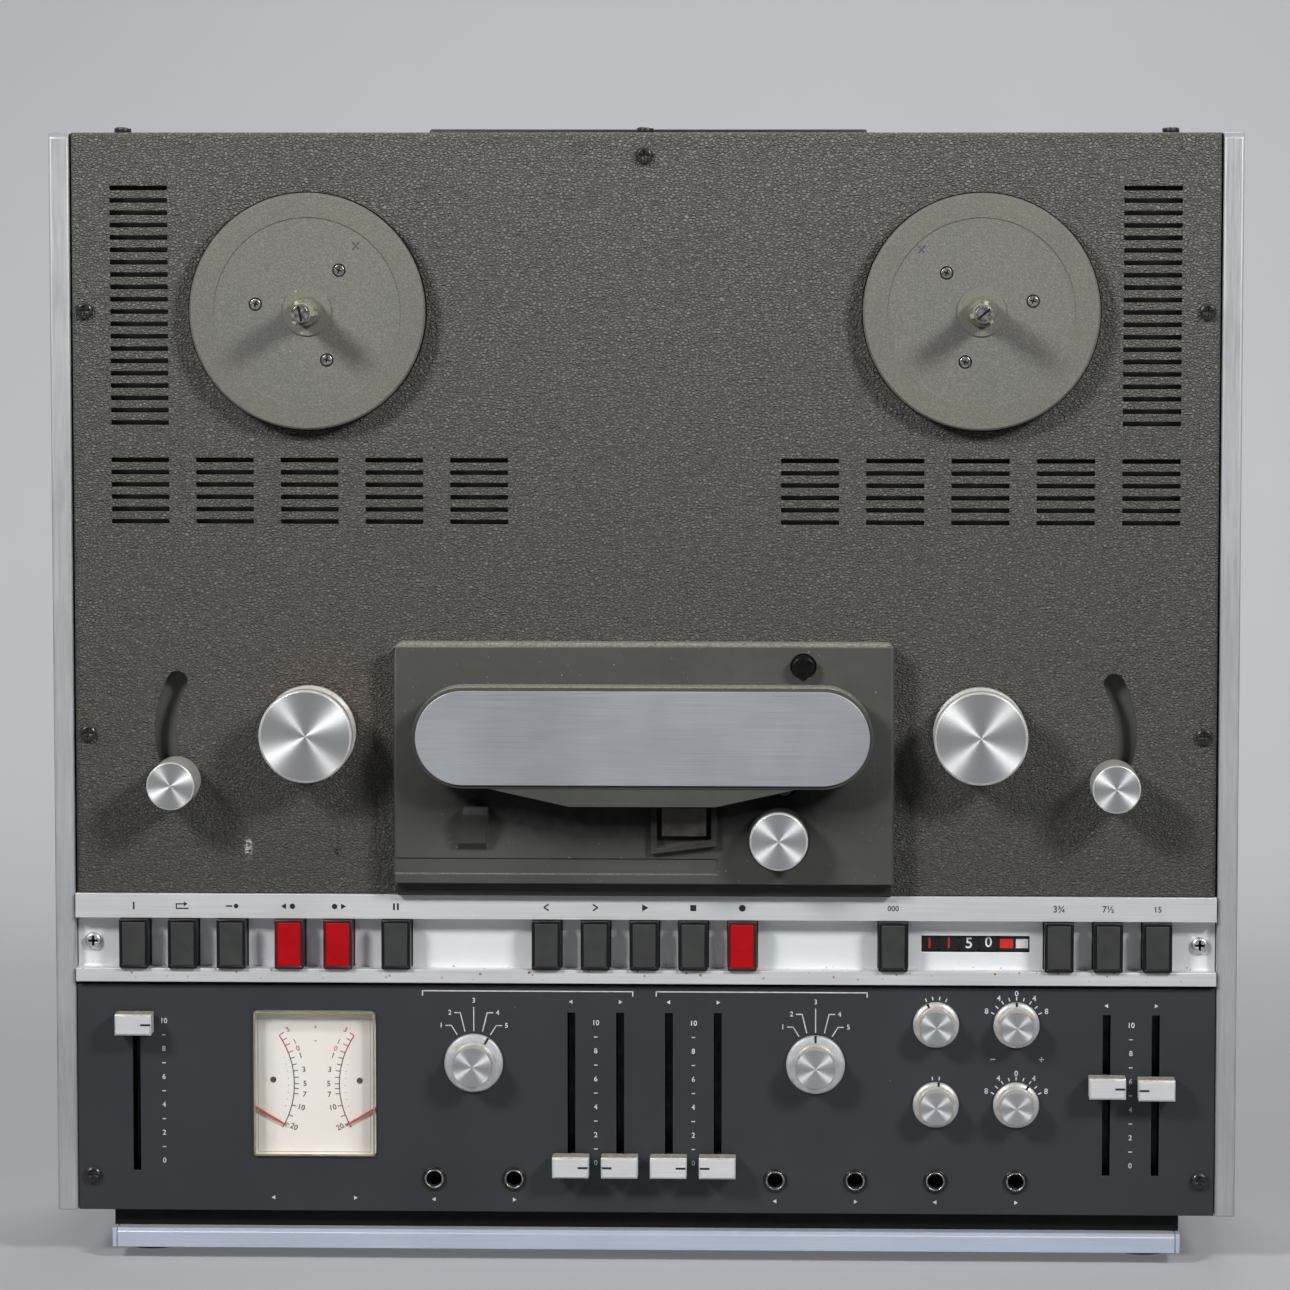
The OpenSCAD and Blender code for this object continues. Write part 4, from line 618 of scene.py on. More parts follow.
for side, name, screw_turn, lug_turn, slot_lean in ((-1, "left_reel_table", 52, -5, -12),
                                                    (1, "right_reel_table", 12, 75, 50)):
    x, z = side * reel_x, reel_z
    disc = turned(name + "_disc", x, z, [
        (deepest(name), 4.0), (-18, 4.0), (-7, 4.0), (-7, 10), (4, 10), (4, 47), (4.8, 47.8), (8.2, 47.8),
        (9, 47), (9, 37.9), (8.6, 37.7), (8.6, 10)], 0.12, 96)
    fitted(disc, name, "reel_grey", reel_paint, name)
    # A black ring just behind the disc's edge: painted shadow in the gap round the disc.
    gap_shadow_ring = turned(name + "_ring", x, z, [(4.2, 46.6), (4.2, 48.3), (6.8, 48.3), (6.8, 46.6)], 0, 96)
    fitted(gap_shadow_ring, name, "reel_grey", plinth_black)
    collar = turned(name + "_collar", x, z, [(8.5, 10), (9.2, 10), (9.5, 9.7), (9.5, 6.2), (18, 5.3)], 0.1)
    fitted(collar, name, "reel_grey", reel_paint)
    tip = turned(name + "_tip", x, z, [(35.8, 3.7), (36, 3.8), (39.4, 3.8), (40, 3.2)], 0.1, 32)
    fitted(tip, name, "reel_grey", spindle_steel)
    lugs = [turned("sleeve", x, z, [(17.8, 3.95), (35.8, 3.95), (36, 3.75)], 0.08, 32)]
    for angle in (lug_turn, lug_turn + 120, lug_turn + 240):
        lx, lz = x + lug_ring * cos(radians(angle)), z + lug_ring * sin(radians(angle))
        lugs.append(block("lug", lx - 0.8, lx + 0.8, 17, 35, lz - 1.9, lz + 1.9, 0.2, 90 - angle))
    fitted(joined(name + "_lugs", *lugs), name, "reel_grey", lug_plastic)
    # A thin black plate on the tip's face stands for its slot: painted shade in the slot.
    slot = block(name + "_slot", x - 0.5, x + 0.5, 39.6, 40.02, z - 3.2, z + 3.2, 0, slot_lean)
    fitted(slot, name, "reel_grey", plinth_black)
    # Round each screw head a black ring in its countersink and over it a black cross in its recess: painted
    # shade.
    heads, marks = [], []
    for angle in (0, 120, 240):
        a = radians(screw_turn + angle)
        sx, sz = x + screw_ring * cos(a), z + screw_ring * sin(a)
        heads.append(turned("head", sx, sz, [(8.0, 2.2), (8.75, 2.2), (8.95, 1.9)], 0.1, 32))
        marks.append(turned("seat", sx, sz, [(8.0, 2.75), (8.66, 2.75), (8.66, 2.2)], 0, 24))
        for turn in (20, 110):
            marks.append(block("cross", sx - 1.2, sx + 1.2, 8.8, 8.99, sz - 0.27, sz + 0.27, 0, turn))
    fitted(joined(name + "_screws", *heads), name, "reel_grey", spindle_steel)
    fitted(joined(name + "_screw_painted_shade", *marks), name, "reel_grey", plinth_black)


# The guide rollers, with a waist for the tape, and the plain tension posts, all in spun aluminium.
# The rollers turn on shafts in the chassis, the posts ride on levers behind the deck.
def spun(name, low, high, rough, spread):
    """Spun aluminium: fine turning rings about the axis, and a few smudges from fingers."""
    skin = finish(name, high, rough, 1.0, Anisotropic=spread)
    tree = skin.node_tree
    marks = add(tree, "TexNoise", {"W": from_axis(tree), "Scale": 5200.0, "Detail": 2.0},
                noise_dimensions="1D")
    rings = between(tree, marks.outputs[0], 0.3, 0.7)
    coloured(skin, rings, low, high)
    smudged = add(tree, "Math", {0: clouds(skin, 140.0), 1: 0.5, 2: rings}, operation="MULTIPLY_ADD")
    wired(skin, "Roughness", between(tree, smudged.outputs[0], 0.0, 1.5, rough - 0.03, rough + 0.06))
    wired(skin, "Tangent", add(tree, "Tangent", direction_type="RADIAL", axis="Y").outputs[0])
    return skin


def walls(piece, skin):
    """Gives the turned sides of a piece, all but its flat ends, a finish of their own."""
    flat_end = 0.985
    piece.data.materials.append(skin)
    for face in piece.data.polygons:
        if abs(face.normal.y) < flat_end:
            face.material_index = 1


cap_metal = spun("spun_caps", (210, 213, 213), (228, 230, 229), 0.38, 0.86)
# The turned sides get a pale, half-diffuse finish so they read bright all round: a painted reflection of
# the lamps, with real dust on what faces up.
wall_painted_reflection = clouded("turned_walls_painted_reflection", (222, 221, 215), (214, 212, 205), (232, 231, 226), 240.0, 0.34, 0.5)
covered(wall_painted_reflection, dust(wall_painted_reflection, 600.0, 0.25), (196, 186, 168))
uneven(wall_painted_reflection, 700.0, 0.28, 0.42)
arm_steel = clouded("arm_steel", (120, 121, 122), (100, 100, 100), (134, 135, 136), 90.0, 0.4, 0.8)
roller_x, roller_z = 136.3, 219.0
pivot_x, pivot_z = 153.8, 219.0
post_x, post_z = 190.7, 198.96
lever_width, past_the_pins = 10.0, 4.0
for side, word in ((-1, "left"), (1, "right")):
    roller = word + "_guide_roller"
    body = turned(roller + "_body", side * roller_x, roller_z, [
        (deepest(roller), 3.0), (3, 3.0), (3, 18.6), (3.4, 19), (5.5, 19), (6.5, 17.5), (18, 17.5),
        (19, 19), (23.2, 19), (24, 18.2)], 0.15, 96)
    walls(fitted(body, roller, "turned_aluminium", cap_metal, roller), wall_painted_reflection)
    arm = word + "_tension_arm"
    px, pz = side * post_x, post_z
    post = turned(arm + "_post", px, pz, [
        (-5, 3.0), (3, 3.0), (3, 9.5), (3.3, 9.75), (26.6, 9.75), (27, 9.35)], 0.12, 64)
    walls(fitted(post, arm, "turned_aluminium", cap_metal, arm), wall_painted_reflection)
    run_x, run_z = px - side * pivot_x, pz - pivot_z
    mid_x, mid_z = px - run_x / 2, pz - run_z / 2
    reach = hypot(run_x, run_z) / 2 + past_the_pins
    lever = block(arm + "_lever", mid_x - reach, mid_x + reach, -6.25, -3.25,
                  mid_z - lever_width / 2, mid_z + lever_width / 2, 1.2, degrees(atan2(-run_z, run_x)))
    fitted(lever, arm, "turned_aluminium", arm_steel)

# The head block: a grey die-cast housing with a guide wedge, a shield opening and a splicing groove,
# on a black foot, and over it the head cover with its sloping visor. Under the visor the housing is painted
# near-black: painted shadow.
housing = clouded("housing_paint", (66, 66, 63), (66, 66, 63), (74, 74, 71), 22.0, 0.45)
tree = housing.node_tree
spot = place_on(tree)
height = along(tree, spot, 2)
bumped(housing, noise(tree, spot, 2200.0, 2.0), 0.12, 0.0001)
covered(housing, specks(housing, 620.0, 0.2, 0.14), (104, 102, 95))
covered(housing, specks(housing, 330.0, 0.12, 0.1), (140, 138, 128))
covered(housing, between(tree, height, 0.1584, 0.1578), (22, 22, 23))
settled = times(tree, dust(housing, 1300.0, 0.95), between(tree, height, 0.2, 0.24, 0.4, 1.0))
covered(housing, settled, (190, 185, 168))
uneven(housing, 260.0, 0.4, 0.54)
# A copy of the housing paint, painted near-black under the visor along its outline: a painted shadow of the
# visor, made rougher there too.
shaded_housing = housing.copy()
shaded_housing.name = "housing_painted_shade"
tree = shaded_housing.node_tree
spot = place_on(tree)
height = along(tree, spot, 2)
aside = add(tree, "Math", {0: along(tree, spot, 0)}, operation="ABSOLUTE").outputs[0]
low_edge = between(tree, aside, 0.026, 0.06, 0.0, 0.007)
under = add(tree, "Math", {0: height, 1: low_edge}, operation="SUBTRACT").outputs[0]
visor_shade = times(tree, between(tree, under, 0.165, 0.1775), between(tree, height, 0.228, 0.196))
visor_shade = times(tree, visor_shade, between(tree, aside, 0.12, 0.064, 0.0, 0.97))
covered(shaded_housing, visor_shade, (6, 6, 5))
dulled = add(tree, "Math", {0: visor_shade, 1: 0.4, 2: pattern_in(shaded_housing, "Roughness")}, operation="MULTIPLY_ADD")
wired(shaded_housing, "Roughness", dulled.outputs[0])
clad("head_housing", "head_block", 0.4, "deck_paint", shaded_housing, steps=3, weld=0.2)
clad("head_shroud", "head_cover", 0.2, "deck_paint", housing)

# The trim plate: a bare, straight-brushed aluminium plate with round ends.
# It is stuck on the front of the head cover.
trim_metal = brushed("trim_aluminium", (149, 153, 157), (180, 184, 188), (26.0, 4200.0, 4200.0), 0.4, 0.4)
clad("trim_face", "head_trim_plate", 0.3, "trim_plate", trim_metal)

# The pinch roller: black rubber on an axle, under a spun aluminium cap, and the cue button beside it,
# a black plastic pin with a domed front.
rubber = clouded("roller_rubber", (20, 20, 20), (16, 16, 16), (32, 31, 30), 200.0, 0.6)
uneven(rubber, 500.0, 0.5, 0.7)
pinch_x, pinch_z = 55.0, 177.4
tyre = turned("pinch_rubber", pinch_x, pinch_z, [
    (14, 11.9), (14.6, 12.5), (24.9, 12.5), (25.5, 11.9)], 0.15)
fitted(tyre, "pinch_roller", "roller_rubber", rubber, "pinch_roller")
cap = turned("pinch_cap", pinch_x, pinch_z, [(25.4, 11.8), (26.9, 11.8), (27.5, 11.2)], 0.12, 80)
walls(fitted(cap, "pinch_roller", "roller_rubber", cap_metal), wall_painted_reflection)
cue_plastic = clouded("cue_plastic", (9, 9, 9), (7, 7, 7), (13, 13, 13), 300.0, 0.25,
                      Specular_IOR_Level=0.25)
uneven(cue_plastic, 700.0, 0.18, 0.36)
cue_x, cue_z = 64.7, 246.9
cue_pin = turned("cue_pin", cue_x, cue_z, [
    (deepest("cue_button"), 2.5), (6, 2.5), (6, 4.8), (16.2, 4.8), (16.8, 4.2), (17, 3.2)], 0.12, 40)
fitted(cue_pin, "cue_button", "cue_black", cue_plastic, "cue_button")

# The transport strip: an aluminium channel across the machine with two satin lips and a bright floor,
# in which the keys stand, with the counter's window on the right. A cross-head screw holds each end.
strip_metal = brushed("strip_aluminium", (203, 204, 205), (223, 224, 225), (22.0, 2600.0, 2600.0),
                      0.42, 0.3)
tree = strip_metal.node_tree
spot = place_on(tree)
height = along(tree, spot, 2)
covered(strip_metal, specks(strip_metal, 90.0, 0.06, 0.08), (150, 110, 80))
covered(strip_metal, between(tree, along(tree, spot, 1), -0.0545, -0.0475), (237, 238, 240))
corner = times(tree, between(tree, height, 0.124, 0.1205), between(tree, height, 0.1165, 0.1195))
covered(strip_metal, times(tree, specks(strip_metal, 700.0, 0.42, 0.1), corner), (158, 108, 72))
clad("strip_channel", "transport_strip", 0.25, "satin_aluminium", strip_metal)
strip_z, strip_screw_x = 131.55, 226.6
# Black crosses in the bottoms of the two strip screws' cross recesses: painted shade.
crosses = []
for x in (-strip_screw_x, strip_screw_x):
    for turn in (0, 90):
        crosses.append(block("cross", x - 1.95, x + 1.95, -4.9, -4.25,
                             strip_z - 0.5, strip_z + 0.5, 0, turn))
fitted(joined("strip_screw_painted_shade", *crosses), "recorder_body", "screw_black", plinth_black)


# The marks on the lip above the keys, in black ink: plain signs for what each key does.
# Two pencilled crosses on the reel tables are a repairer's.
def stroke(x0, z0, x1, z1, width, out):
    """A straight stroke of ink between two places."""
    bpy.ops.object.select_all(action="DESELECT")
    bpy.ops.mesh.primitive_plane_add(size=1, location=at((x0 + x1) / 2, out, (z0 + z1) / 2),
                                     rotation=(radians(90), -atan2(z1 - z0, x1 - x0), 0))
    line = bpy.context.object
    line.scale = (hypot(x1 - x0, z1 - z0) / 1000, width / 1000, 1)
    bpy.ops.object.transform_apply()
    return line


def spot_of_ink(x, z, radius, out, corners=14, turn=0.0):
    """A filled spot of ink with so many corners."""
    bpy.ops.object.select_all(action="DESELECT")
    bpy.ops.mesh.primitive_circle_add(vertices=corners, radius=radius / 1000, fill_type="NGON",
                                      location=at(x, out, z), rotation=(radians(90), radians(turn), 0))
    bpy.ops.object.transform_apply()
    return bpy.context.object


def number(word, x, z, height, out, tilt=0.0, weight=0.012):
    """A number in ink, centred on a place and tilted anticlockwise."""
    figure_share = 0.7
    bpy.ops.object.select_all(action="DESELECT")
    bpy.ops.object.text_add(location=at(x, out, z), rotation=(radians(90), -radians(tilt), 0))
    figure = bpy.context.object
    figure.data.body = word
    figure.data.size = height / figure_share / 1000
    figure.data.offset = weight * figure.data.size
    figure.data.align_x = "CENTER"
    figure.data.align_y = "CENTER"
    figure.data.resolution_u = 3
    bpy.ops.object.convert(target="MESH")
    bpy.ops.object.transform_apply()
    return bpy.context.object


def ink(name, colour):
    """Printer's ink, a little uneven."""
    worn = tuple(int(part * 0.86) for part in colour)
    return clouded(name, colour, worn, colour, 260.0, 0.55)


black_ink = ink("black_ink", (22, 22, 22))
pencil = ink("pencil", (74, 76, 84))
for body, x, z in (("left_reel_table", -116.2, 416.5), ("right_reel_table", 111.7, 415.2)):
    cross = joined(body + "_pencil", stroke(x - 1.4, z - 1.7, x + 1.6, z + 1.5, 0.55, 8.66),
                   stroke(x - 1.5, z + 1.5, x + 1.2, z - 1.4, 0.5, 8.67))
    fitted(cross, body, "reel_grey", pencil)
lip, row = 2.04, 147.0
signs = []
for x0, up0, x1, up1, width in ((-209, -1.5, -209, 1.5, 0.7), (-191.5, -1.1, -186.5, -1.1, 0.5),
                                (-191.5, -1.3, -191.5, 1.0, 0.5), (-191.7, 0.8, -188.4, 0.8, 0.5),
                                (-171.2, 0, -168.6, 0, 0.6), (-102.3, -1.4, -102.3, 1.4, 0.8),
                                (-100.7, -1.4, -100.7, 1.4, 0.8), (-39.0, 1.3, -41.0, 0, 0.6),
                                (-39.0, -1.3, -41.0, 0, 0.6), (-21.0, 1.3, -19.0, 0, 0.6),
                                (-21.0, -1.3, -19.0, 0, 0.6)):
    signs.append(stroke(x0, row + up0, x1, row + up1, width, lip))
for x, up, radius, corners, turn in ((-187.9, 0.8, 1.1, 3, 90), (-167.0, 0, 0.95, 14, 0),
                                     (-147.2, 0, 1.4, 3, -90), (-143.9, 0, 1.15, 14, 0),
                                     (-126.6, 0, 1.15, 14, 0), (-123.3, 0, 1.4, 3, 90), (0, 0, 1.7, 3, 90),
                                     (20, 0, 1.75, 4, 45), (40, 0, 1.4, 14, 0)):
    signs.append(spot_of_ink(x, row + up, radius, lip, corners, turn))
for word, x, height in (("000", 101.5, 2.2), ("3¾", 169, 2.7), ("7½", 189, 2.7), ("15", 209, 2.4)):
    signs.append(number(word, x, row, height, lip))
fitted(joined("key_signs", *signs), "recorder_body", "satin_aluminium", black_ink)


# The fifteen keys: black moulded frames around a flat dark grey panel, red on the three for recording.
# Each slides straight in on its stem.
def moulded(name, low, high, rough, gloss=0.5):
    """Moulded plastic with a fine matt texture and dust on its upper edge."""
    skin = clouded(name, high, low, high, 150.0, rough, Specular_IOR_Level=gloss)
    tree = skin.node_tree
    matt = noise(tree, place_on(tree), 3500.0, 2.0)
    bumped(skin, matt, 0.15, 0.00008)
    covered(skin, dust(skin, 800.0, 0.3), (130, 122, 110))
    wired(skin, "Roughness", between(tree, matt, 0.3, 0.7, rough - 0.06, rough + 0.08))
    return skin


key_frame_skin = moulded("key_frame", (10, 10, 11), (16, 17, 17), 0.34, 0.3)
key_panel_skin = moulded("key_panel", (46, 48, 46), (55, 57, 54), 0.5)
red_frame_skin = moulded("red_key_frame", (52, 6, 12), (66, 8, 16), 0.34)
red_panel_skin = moulded("red_key_panel", (166, 0, 12), (178, 2, 18), 0.48, 0.2)
keys = {"power_button": -209.0, "repeat_button": -189.0, "auto_button": -169.0,
        "left_record_button": -145.25, "right_record_button": -125.25, "pause_button": -101.5,
        "rewind_button": -40.0, "forward_button": -20.0, "play_button": 0.0, "stop_button": 20.0,
        "record_button": 40.0, "counter_reset_button": 101.5, "low_speed_button": 169.0,
        "middle_speed_button": 189.0, "high_speed_button": 209.0}
key_w, key_h, face_w, face_h, stem_h = 5.9, 10.05, 4.75, 8.85, 2.05
rim, slope, sunk = 0.0009, 0.0003, 0.0005
for name, x in keys.items():
    red = "record" in name
    slot = "key_red" if red else "key_black"
    frame_piece = block(name + "_frame", x - key_w, x + key_w, -9.8, 4.2,
                        strip_z - key_h, strip_z + key_h)
    pick(frame_piece, "FACE", lambda face: face.normal.y < -0.9)
    bpy.ops.mesh.inset(thickness=rim, depth=0)
    bpy.ops.mesh.inset(thickness=slope, depth=-sunk)
    bpy.ops.object.mode_set(mode="OBJECT")
    broken(frame_piece, 0.35)
    stem = block(name + "_stem", x - 2, x + 2, deepest(name), -9.7, strip_z - stem_h, strip_z + stem_h, 0.2)
    frame_piece = joined(name + "_frame", frame_piece, stem)
    fitted(frame_piece, name, slot, red_frame_skin if red else key_frame_skin, name)
    panel = block(name + "_panel", x - face_w, x + face_w, 3.0, 3.95,
                  strip_z - face_h, strip_z + face_h, 0.3)
    fitted(panel, name, slot, red_panel_skin if red else key_panel_skin)

# The tape counter: four number drums behind a slot in the strip, two red and two white,
# and a red and a white field beside them.
drum_black = clouded("drum_black", (16, 16, 16), (13, 13, 13), (24, 24, 24), 150.0, 0.35)
white_ink = ink("white_ink", (224, 224, 220))
red_ink = ink("red_ink", (206, 36, 34))
drum_xs, drum_half_h, field_half_h, drum_face = (116.5, 124.4, 132.65, 140.6), 3.2, 1.9, -7.86
low, high = strip_z - drum_half_h, strip_z + drum_half_h
drums = [block("drum", x - 3.6, x + 3.6, -9.5, -7.9, low, high, 0.25) for x in drum_xs]
drums.append(block("field", 144.6, 157.2, -9.5, -8.1, low, high, 0.2))
fitted(joined("counter_drums", *drums), "recorder_body", "electronics", drum_black)
low, high = strip_z - field_half_h, strip_z + field_half_h
reds = [number("1", drum_xs[0], strip_z, 4.4, drum_face), number("1", drum_xs[1], strip_z, 4.4, drum_face),
        block("red_field", 145.3, 150.7, -8.2, -8.0, low, high)]
fitted(joined("counter_red_figures", *reds), "recorder_body", "electronics", red_ink)
whites = [number("5", drum_xs[2], strip_z, 4.4, drum_face),
          number("0", drum_xs[3], strip_z + 0.4, 4.2, drum_face),
          block("white_field", 151.8, 156.8, -8.2, -8.0, low, high)]
fitted(joined("counter_white_figures", *whites), "recorder_body", "electronics", white_ink)

# The control panel: a folded sheet in blue-grey paint, screwed to the chassis under the strip,
# with slots for the faders, a window for the meter and holes for knobs and jacks.
panel_skin = clouded("panel_paint", (49, 51, 54), (43, 45, 48), (50, 52, 55), 16.0, 0.42)
tree = panel_skin.node_tree
bumped(panel_skin, noise(tree, place_on(tree), 2800.0, 2.0), 0.12, 0.00008)
covered(panel_skin, specks(panel_skin, 150.0, 0.07, 0.07), (120, 112, 100))
covered(panel_skin, specks(panel_skin, 60.0, 0.05, 0.05), (150, 100, 62))
uneven(panel_skin, 60.0, 0.43, 0.48)
clad("control_sheet", "control_panel", 0.25, "panel_paint", panel_skin)

# The print on the panel, in white ink: level scales beside the faders, leader lines to the selectors,
# ticks and numbers round the small knobs, and small pointers for left and right.
face = -1.46
scale_zero, scale_step = 40.9, 5.8
selector_x, selector_z = 70.0, 82.3
mode_x, tone_x, upper_z, lower_z = 119.2, 152.0, 99.0, 66.0
jack_xs = (-86.4, -53.6, 53.6, 86.4, 119.2, 152.0)
print_marks = []
for x in (-197.5, -20.0, 20.0, 198.7):
    for step in range(11):
        z = scale_zero + scale_step * step
        if step % 2:
            print_marks.append(stroke(x - 0.75, z, x + 0.75, z, 0.4, face))
        else:
            print_marks.append(number(str(step), x, z, 2.1, face))
for side in (-1, 1):
    x, z = side * selector_x, selector_z
    print_marks.append(stroke(x, z + 13, x, z + 23, 0.4, face))
    for word, over, up in (("1", -13.4, 15.3), ("2", -9.8, 20.6), ("3", 0, 25.6), ("4", 9.8, 20.6),
                           ("5", 13.4, 15.3)):
        print_marks.append(number(word, x + over, z + up, 2.0, face))
    for over0, up0, over1, up1 in ((3.6, 12.8, 5.5, 20.6), (5.4, 20.6, 8.0, 20.6), (6.75, 11.4, 9.2, 15.3),
                                   (9.1, 15.3, 11.6, 15.3)):
        for lean in (-1, 1):
            print_marks.append(stroke(x + lean * over0, z + up0, x + lean * over1, z + up1, 0.4, face))
    print_marks += [stroke(side * 4.8, 111.9, side * 91, 111.9, 0.45, face),
                    stroke(side * 4.8, 112.1, side * 4.8, 109.9, 0.45, face),
                    stroke(side * 91, 112.1, side * 91, 109.9, 0.45, face)]
tone_ticks = range(-64, 65, 16)
tone_numbers = ((-64, "8"), (-32, "4"), (0, "0"), (32, "4"), (64, "8"))
for x, z, ticks, labels in ((tone_x, upper_z, tone_ticks, tone_numbers),
                            (tone_x, lower_z, tone_ticks, tone_numbers),
                            (mode_x, upper_z, (-22.5, -7.5, 7.5, 22.5), ()),
                            (mode_x, lower_z, (-7.5, 7.5), ())):
    for angle in ticks:
        over, up = sin(radians(angle)), cos(radians(angle))
        tick = stroke(x + 10.0 * over, z + 10.0 * up, x + 11.5 * over, z + 11.5 * up, 0.45, face)
        print_marks.append(tick)
    for angle, word in labels:
        a = radians(angle)
        print_marks.append(number(word, x + 13.6 * sin(a), z + 13.0 * cos(a) - 0.2, 2.2, face))
print_marks += [stroke(141.4, 84.7, 143.4, 84.7, 0.4, face), stroke(161.3, 84.7, 163.3, 84.7, 0.4, face),
                stroke(162.3, 83.7, 162.3, 85.7, 0.4, face)]
pointers = [(-30, -10, 107.6), (10, 30, 107.6), (188.8, 208.8, 107.0), (-152.5, -119.0, 25.8)]
pointers += [(left, right, 25.4) for left, right in zip(jack_xs[::2], jack_xs[1::2])]
for left, right, z in pointers:
    print_marks += [spot_of_ink(left, z, 1.0, face, 3, -90), spot_of_ink(right, z, 1.0, face, 3, 90)]
fitted(joined("panel_print", *print_marks), "recorder_body", "panel_paint", white_ink)

# The faders: cast aluminium knobs with a satin front, dusty on top, each on a lever through its slot,
# with a black index line at the side of its scale.
fader_metal = brushed("fader_aluminium", (216, 217, 218), (234, 235, 235), (40.0, 2200.0, 2200.0),
                      0.42, 0.3)
covered(fader_metal, dust(fader_metal, 700.0, 0.95), (176, 156, 126))
for name, x, level, index_side in (("record_fader", -208.8, 10, 1), ("input_1_fader", -30.0, 0, 1),
                                   ("input_2_fader", -10.0, 0, -1), ("input_3_fader", 10.0, 0, 1),
                                   ("input_4_fader", 30.0, 0, -1), ("left_volume_fader", 188.8, 5.8, 1),
                                   ("right_volume_fader", 208.8, 5.7, -1)):
    clad(name + "_grip", name, 0.3, "fader_silver", fader_metal, name)
    left, right = (3.1, 7.1) if index_side > 0 else (-7.1, -3.1)
    z = scale_zero + scale_step * level
    index = block(name + "_index", x + left, x + right, 9.0, 10.56, z - 0.42, z + 0.42)
    fitted(index, name, "fader_silver", black_ink)

# The rotary knobs: a flat satin skirt with a black pointer line, and a spun cap on it.
# The two selectors are larger than the four small ones.
knob_cap_metal = spun("knob_caps", (206, 208, 208), (224, 225, 225), 0.38, 0.86)
skirt_metal = clouded("knob_skirts", (206, 207, 208), (192, 193, 194), (216, 217, 218), 300.0, 0.4, 0.5)
tree = skirt_metal.node_tree
grime = times(tree, between(tree, from_axis(tree), 0.0098, 0.0066), clouds(skirt_metal, 420.0))
covered(skirt_metal, grime, (172, 150, 122))
uneven(skirt_metal, 900.0, 0.34, 0.5)
large, small = 12.05, 9.4
for name, x, z, r, pointer in (("left_selector", -selector_x, selector_z, large, 30),
                               ("right_selector", selector_x, selector_z, large, 0),
                               ("mode_knob", mode_x, upper_z, small, -22.5),
                               ("treble_knob", tone_x, upper_z, small, 0),
                               ("monitor_knob", mode_x, lower_z, small, 7.5),
                               ("bass_knob", tone_x, lower_z, small, 32)):
    cap_r, cap_top = r - (3.9 if r == large else 2.5), 1.2 + r * 0.9
    skirt = turned(name + "_skirt", x, z, [
        (deepest(name), 3.0), (-1, 3.0), (-1, r), (0.2, r), (0.8, r - 0.6), (1.2, cap_r + 0.6)], 0.12, 80)
    fitted(skirt, name, "knob_silver", skirt_metal, name)
    cap = turned(name + "_cap", x, z, [
        (1.1, cap_r + 0.4), (1.8, cap_r), (cap_top - 0.3, cap_r), (cap_top, cap_r - 0.2)], 0, 96)
    walls(fitted(cap, name, "knob_silver", knob_cap_metal), wall_painted_reflection)
    a, mid = radians(pointer), (cap_r + r) / 2 + 0.4
    px, pz, half = x + mid * sin(a), z + mid * cos(a), (r - cap_r) / 2 - 0.4
    fitted(block(name + "_pointer", px - 0.45, px + 0.45, 0.4, 1.15, pz - half, pz + half, 0, pointer),
           name, "knob_silver", black_ink)

# The level meter: a cream dial printed with two facing scales, two needles on pivots at its sides,
# behind a clear moulded window with a fine line round its edge.
dial_skin = clouded("dial_card", (250, 245, 237), (248, 242, 232), (252, 248, 241), 30.0, 0.7)
covered(dial_skin, specks(dial_skin, 300.0, 0.06, 0.05), (206, 190, 166))
dressed("meter_case", dial_skin)
dial_black, dial_red = ink("dial_black", (30, 28, 30)), ink("dial_red", (200, 44, 54))
cx, cz, dial = -135.5, 73.3, -8.94
print_x, print_z = cx - 0.85, cz - 1.5
arc, arc_middle = 36, 45.3


def on_arc(side, radius, angle):
    """A place on the scale of one side, by its radius and its angle above the level."""
    reach = arc_middle - radius * cos(radians(angle))
    return print_x + side * reach + 1.1, print_z + radius * sin(radians(angle))


black_marks, red_marks = [], []
for side in (-1, 1):
    for start in range(-30, 21, 3):
        black_marks.append(stroke(*on_arc(side, arc, start), *on_arc(side, arc, start + 3), 0.4, dial))
    for start in (21, 25.3, 29.6):
        red_marks.append(stroke(*on_arc(side, arc, start), *on_arc(side, arc, start + 4.3), 0.5, dial))
    for angle in (34, 30, 26, 21.2):
        red_marks.append(stroke(*on_arc(side, arc, angle), *on_arc(side, 38.2, angle), 0.4, dial))
    for angle in (17, 12.6, 8.45, 4.2, 0.1, -3, -6.3, -14.2, -21, -26.6):
        black_marks.append(stroke(*on_arc(side, arc, angle), *on_arc(side, 37.9, angle), 0.36, dial))
    for angle in range(-26, 20, 5):
        black_marks.append(spot_of_ink(*on_arc(side, 33.6, angle), 0.2, dial, 8))
    for angle, word in ((34, "3"), (25.9, "1"), (21.4, "0")):
        red_marks.append(number(word, *on_arc(side, 40.3, angle), 2.1, dial, -side * angle))
    for angle, word in ((17, "1"), (8.45, "3"), (0.1, "5"), (-6.3, "7"), (-14.2, "10"), (-26.6, "20")):
        number_r = 40.4 if len(word) == 1 else 40.0
        black_marks.append(number(word, *on_arc(side, number_r, angle), 2.2, dial, -side * angle))
black_marks += [spot_of_ink(print_x - 16.9, print_z + 1.7, 1.3, dial),
                spot_of_ink(print_x + 18.8, print_z + 1.4, 1.3, dial),
                stroke(print_x + 0.1, print_z + 17.9, print_x + 1.2, print_z + 17.9, 0.3, dial)]
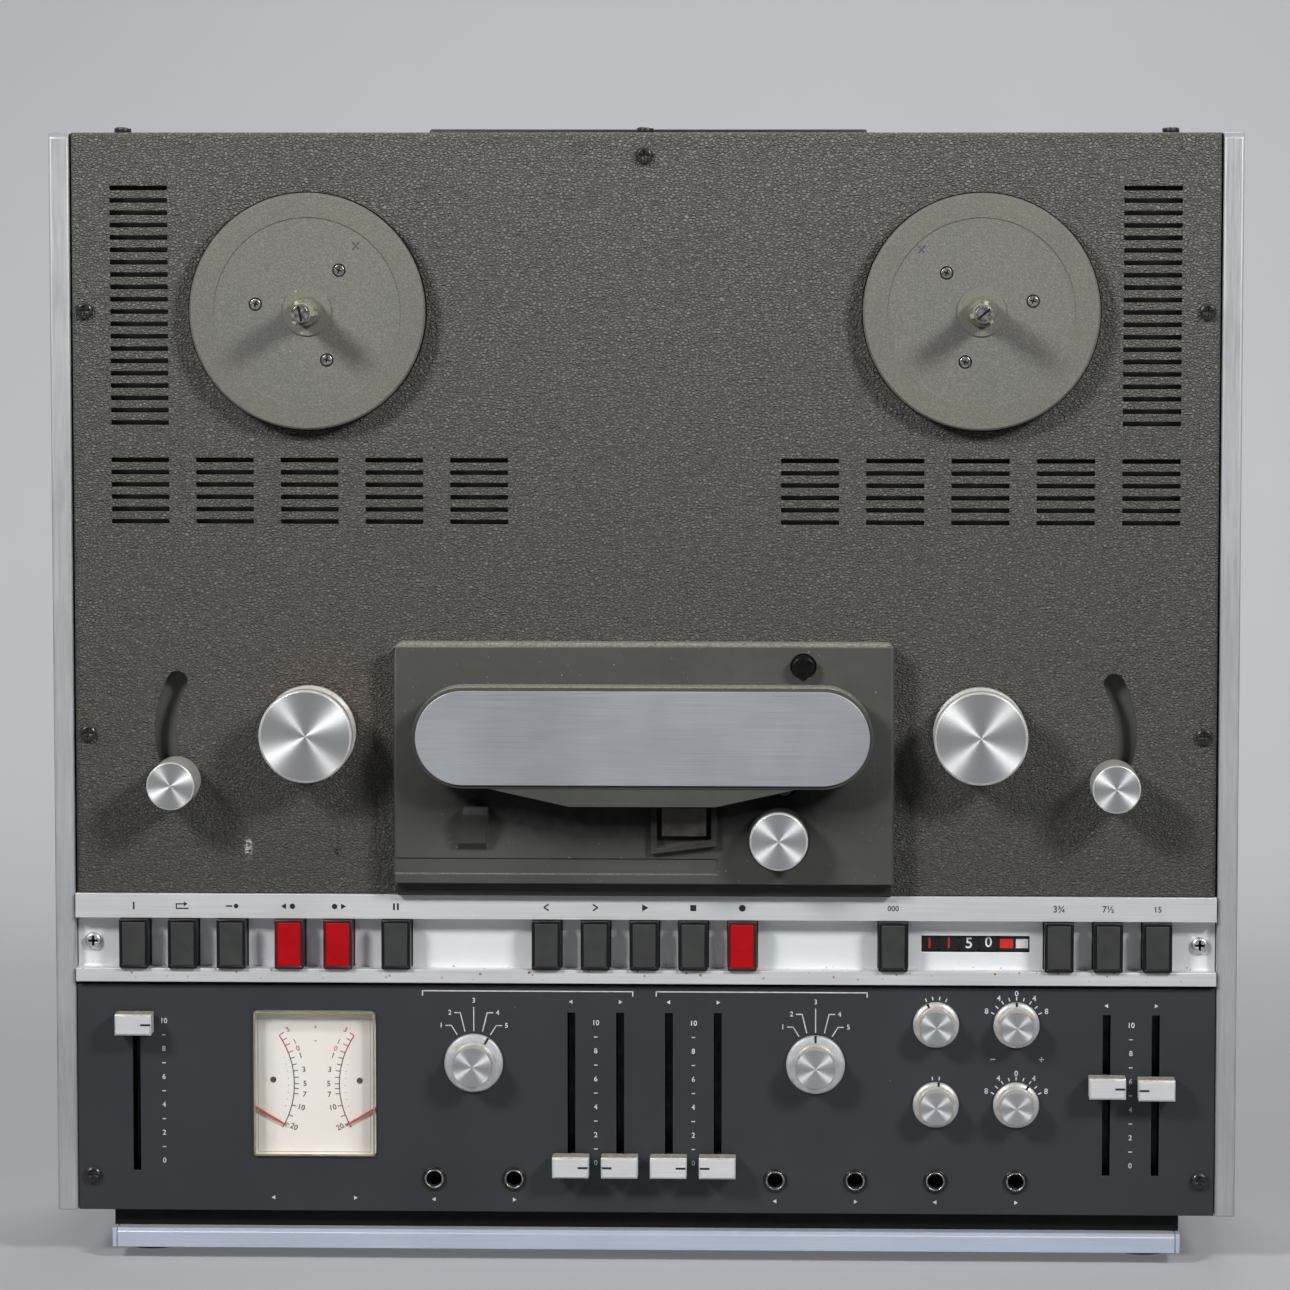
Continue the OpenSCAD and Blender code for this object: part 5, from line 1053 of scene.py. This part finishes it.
red_marks += [stroke(print_x + 0.1, print_z + 23.7, print_x + 1.2, print_z + 23.7, 0.3, dial),
              stroke(print_x + 0.65, print_z + 23.1, print_x + 0.65, print_z + 24.3, 0.3, dial)]
fitted(joined("dial_black_print", *black_marks), "recorder_body", "meter_dial", dial_black)
fitted(joined("dial_red_print", *red_marks), "recorder_body", "meter_dial", dial_red)
needle_skin = clouded("needle_red", (206, 30, 40), (190, 24, 34), (214, 40, 48), 300.0, 0.4)
dressed("left_meter_needle", needle_skin)
dressed("right_meter_needle", needle_skin)
clear = finish("clear_window", (246, 243, 236), 0.08, Alpha=0.04)
uneven(clear, 90.0, 0.05, 0.16)
clad("meter_glass", "meter_window", 0.4, "clear_plastic", clear, steps=3)
border = clouded("window_edge", (150, 140, 116), (138, 128, 104), (168, 158, 134), 200.0, 0.3)
half_wide, half_tall = 25.0, 30.0
frame_lines = []
for inset in (0.5, 1.9):
    w, h = half_wide - inset, half_tall - inset
    for x0, z0, x1, z1 in ((-w, h, w, h), (-w, -h, w, -h), (-w, -h, -w, h), (w, -h, w, h)):
        frame_lines.append(stroke(cx + x0, cz + z0, cx + x1, cz + z1, 0.22 if inset > 1 else 0.7, 0.03))
fitted(joined("window_lines", *frame_lines), "recorder_body", "clear_plastic", border)

# The jacks and rear connectors: black moulded bodies with phono sockets and a mains inlet at the back,
# and a bright steel ring just inside the mouth of each front jack.
socket_skin = moulded("socket_plastic", (12, 12, 13), (20, 20, 21), 0.28)
clad("socket_bodies", "sockets", 0.25, "socket_black", socket_skin)
jack_z, ring_r, wire_r = 34.1, 0.00355, 0.0004
rings = []
for x in jack_xs:
    bpy.ops.object.select_all(action="DESELECT")
    bpy.ops.mesh.primitive_torus_add(location=at(x, -0.75, jack_z), rotation=(radians(90), 0, 0),
                                     major_segments=40, minor_segments=8, major_radius=ring_r,
                                     minor_radius=wire_r)
    bpy.ops.object.transform_apply()
    rings.append(bpy.context.object)
mouths = joined("jack_rings", *rings)
only(mouths)
bpy.ops.object.shade_smooth()
fitted(mouths, "recorder_body", "socket_black", spindle_steel)
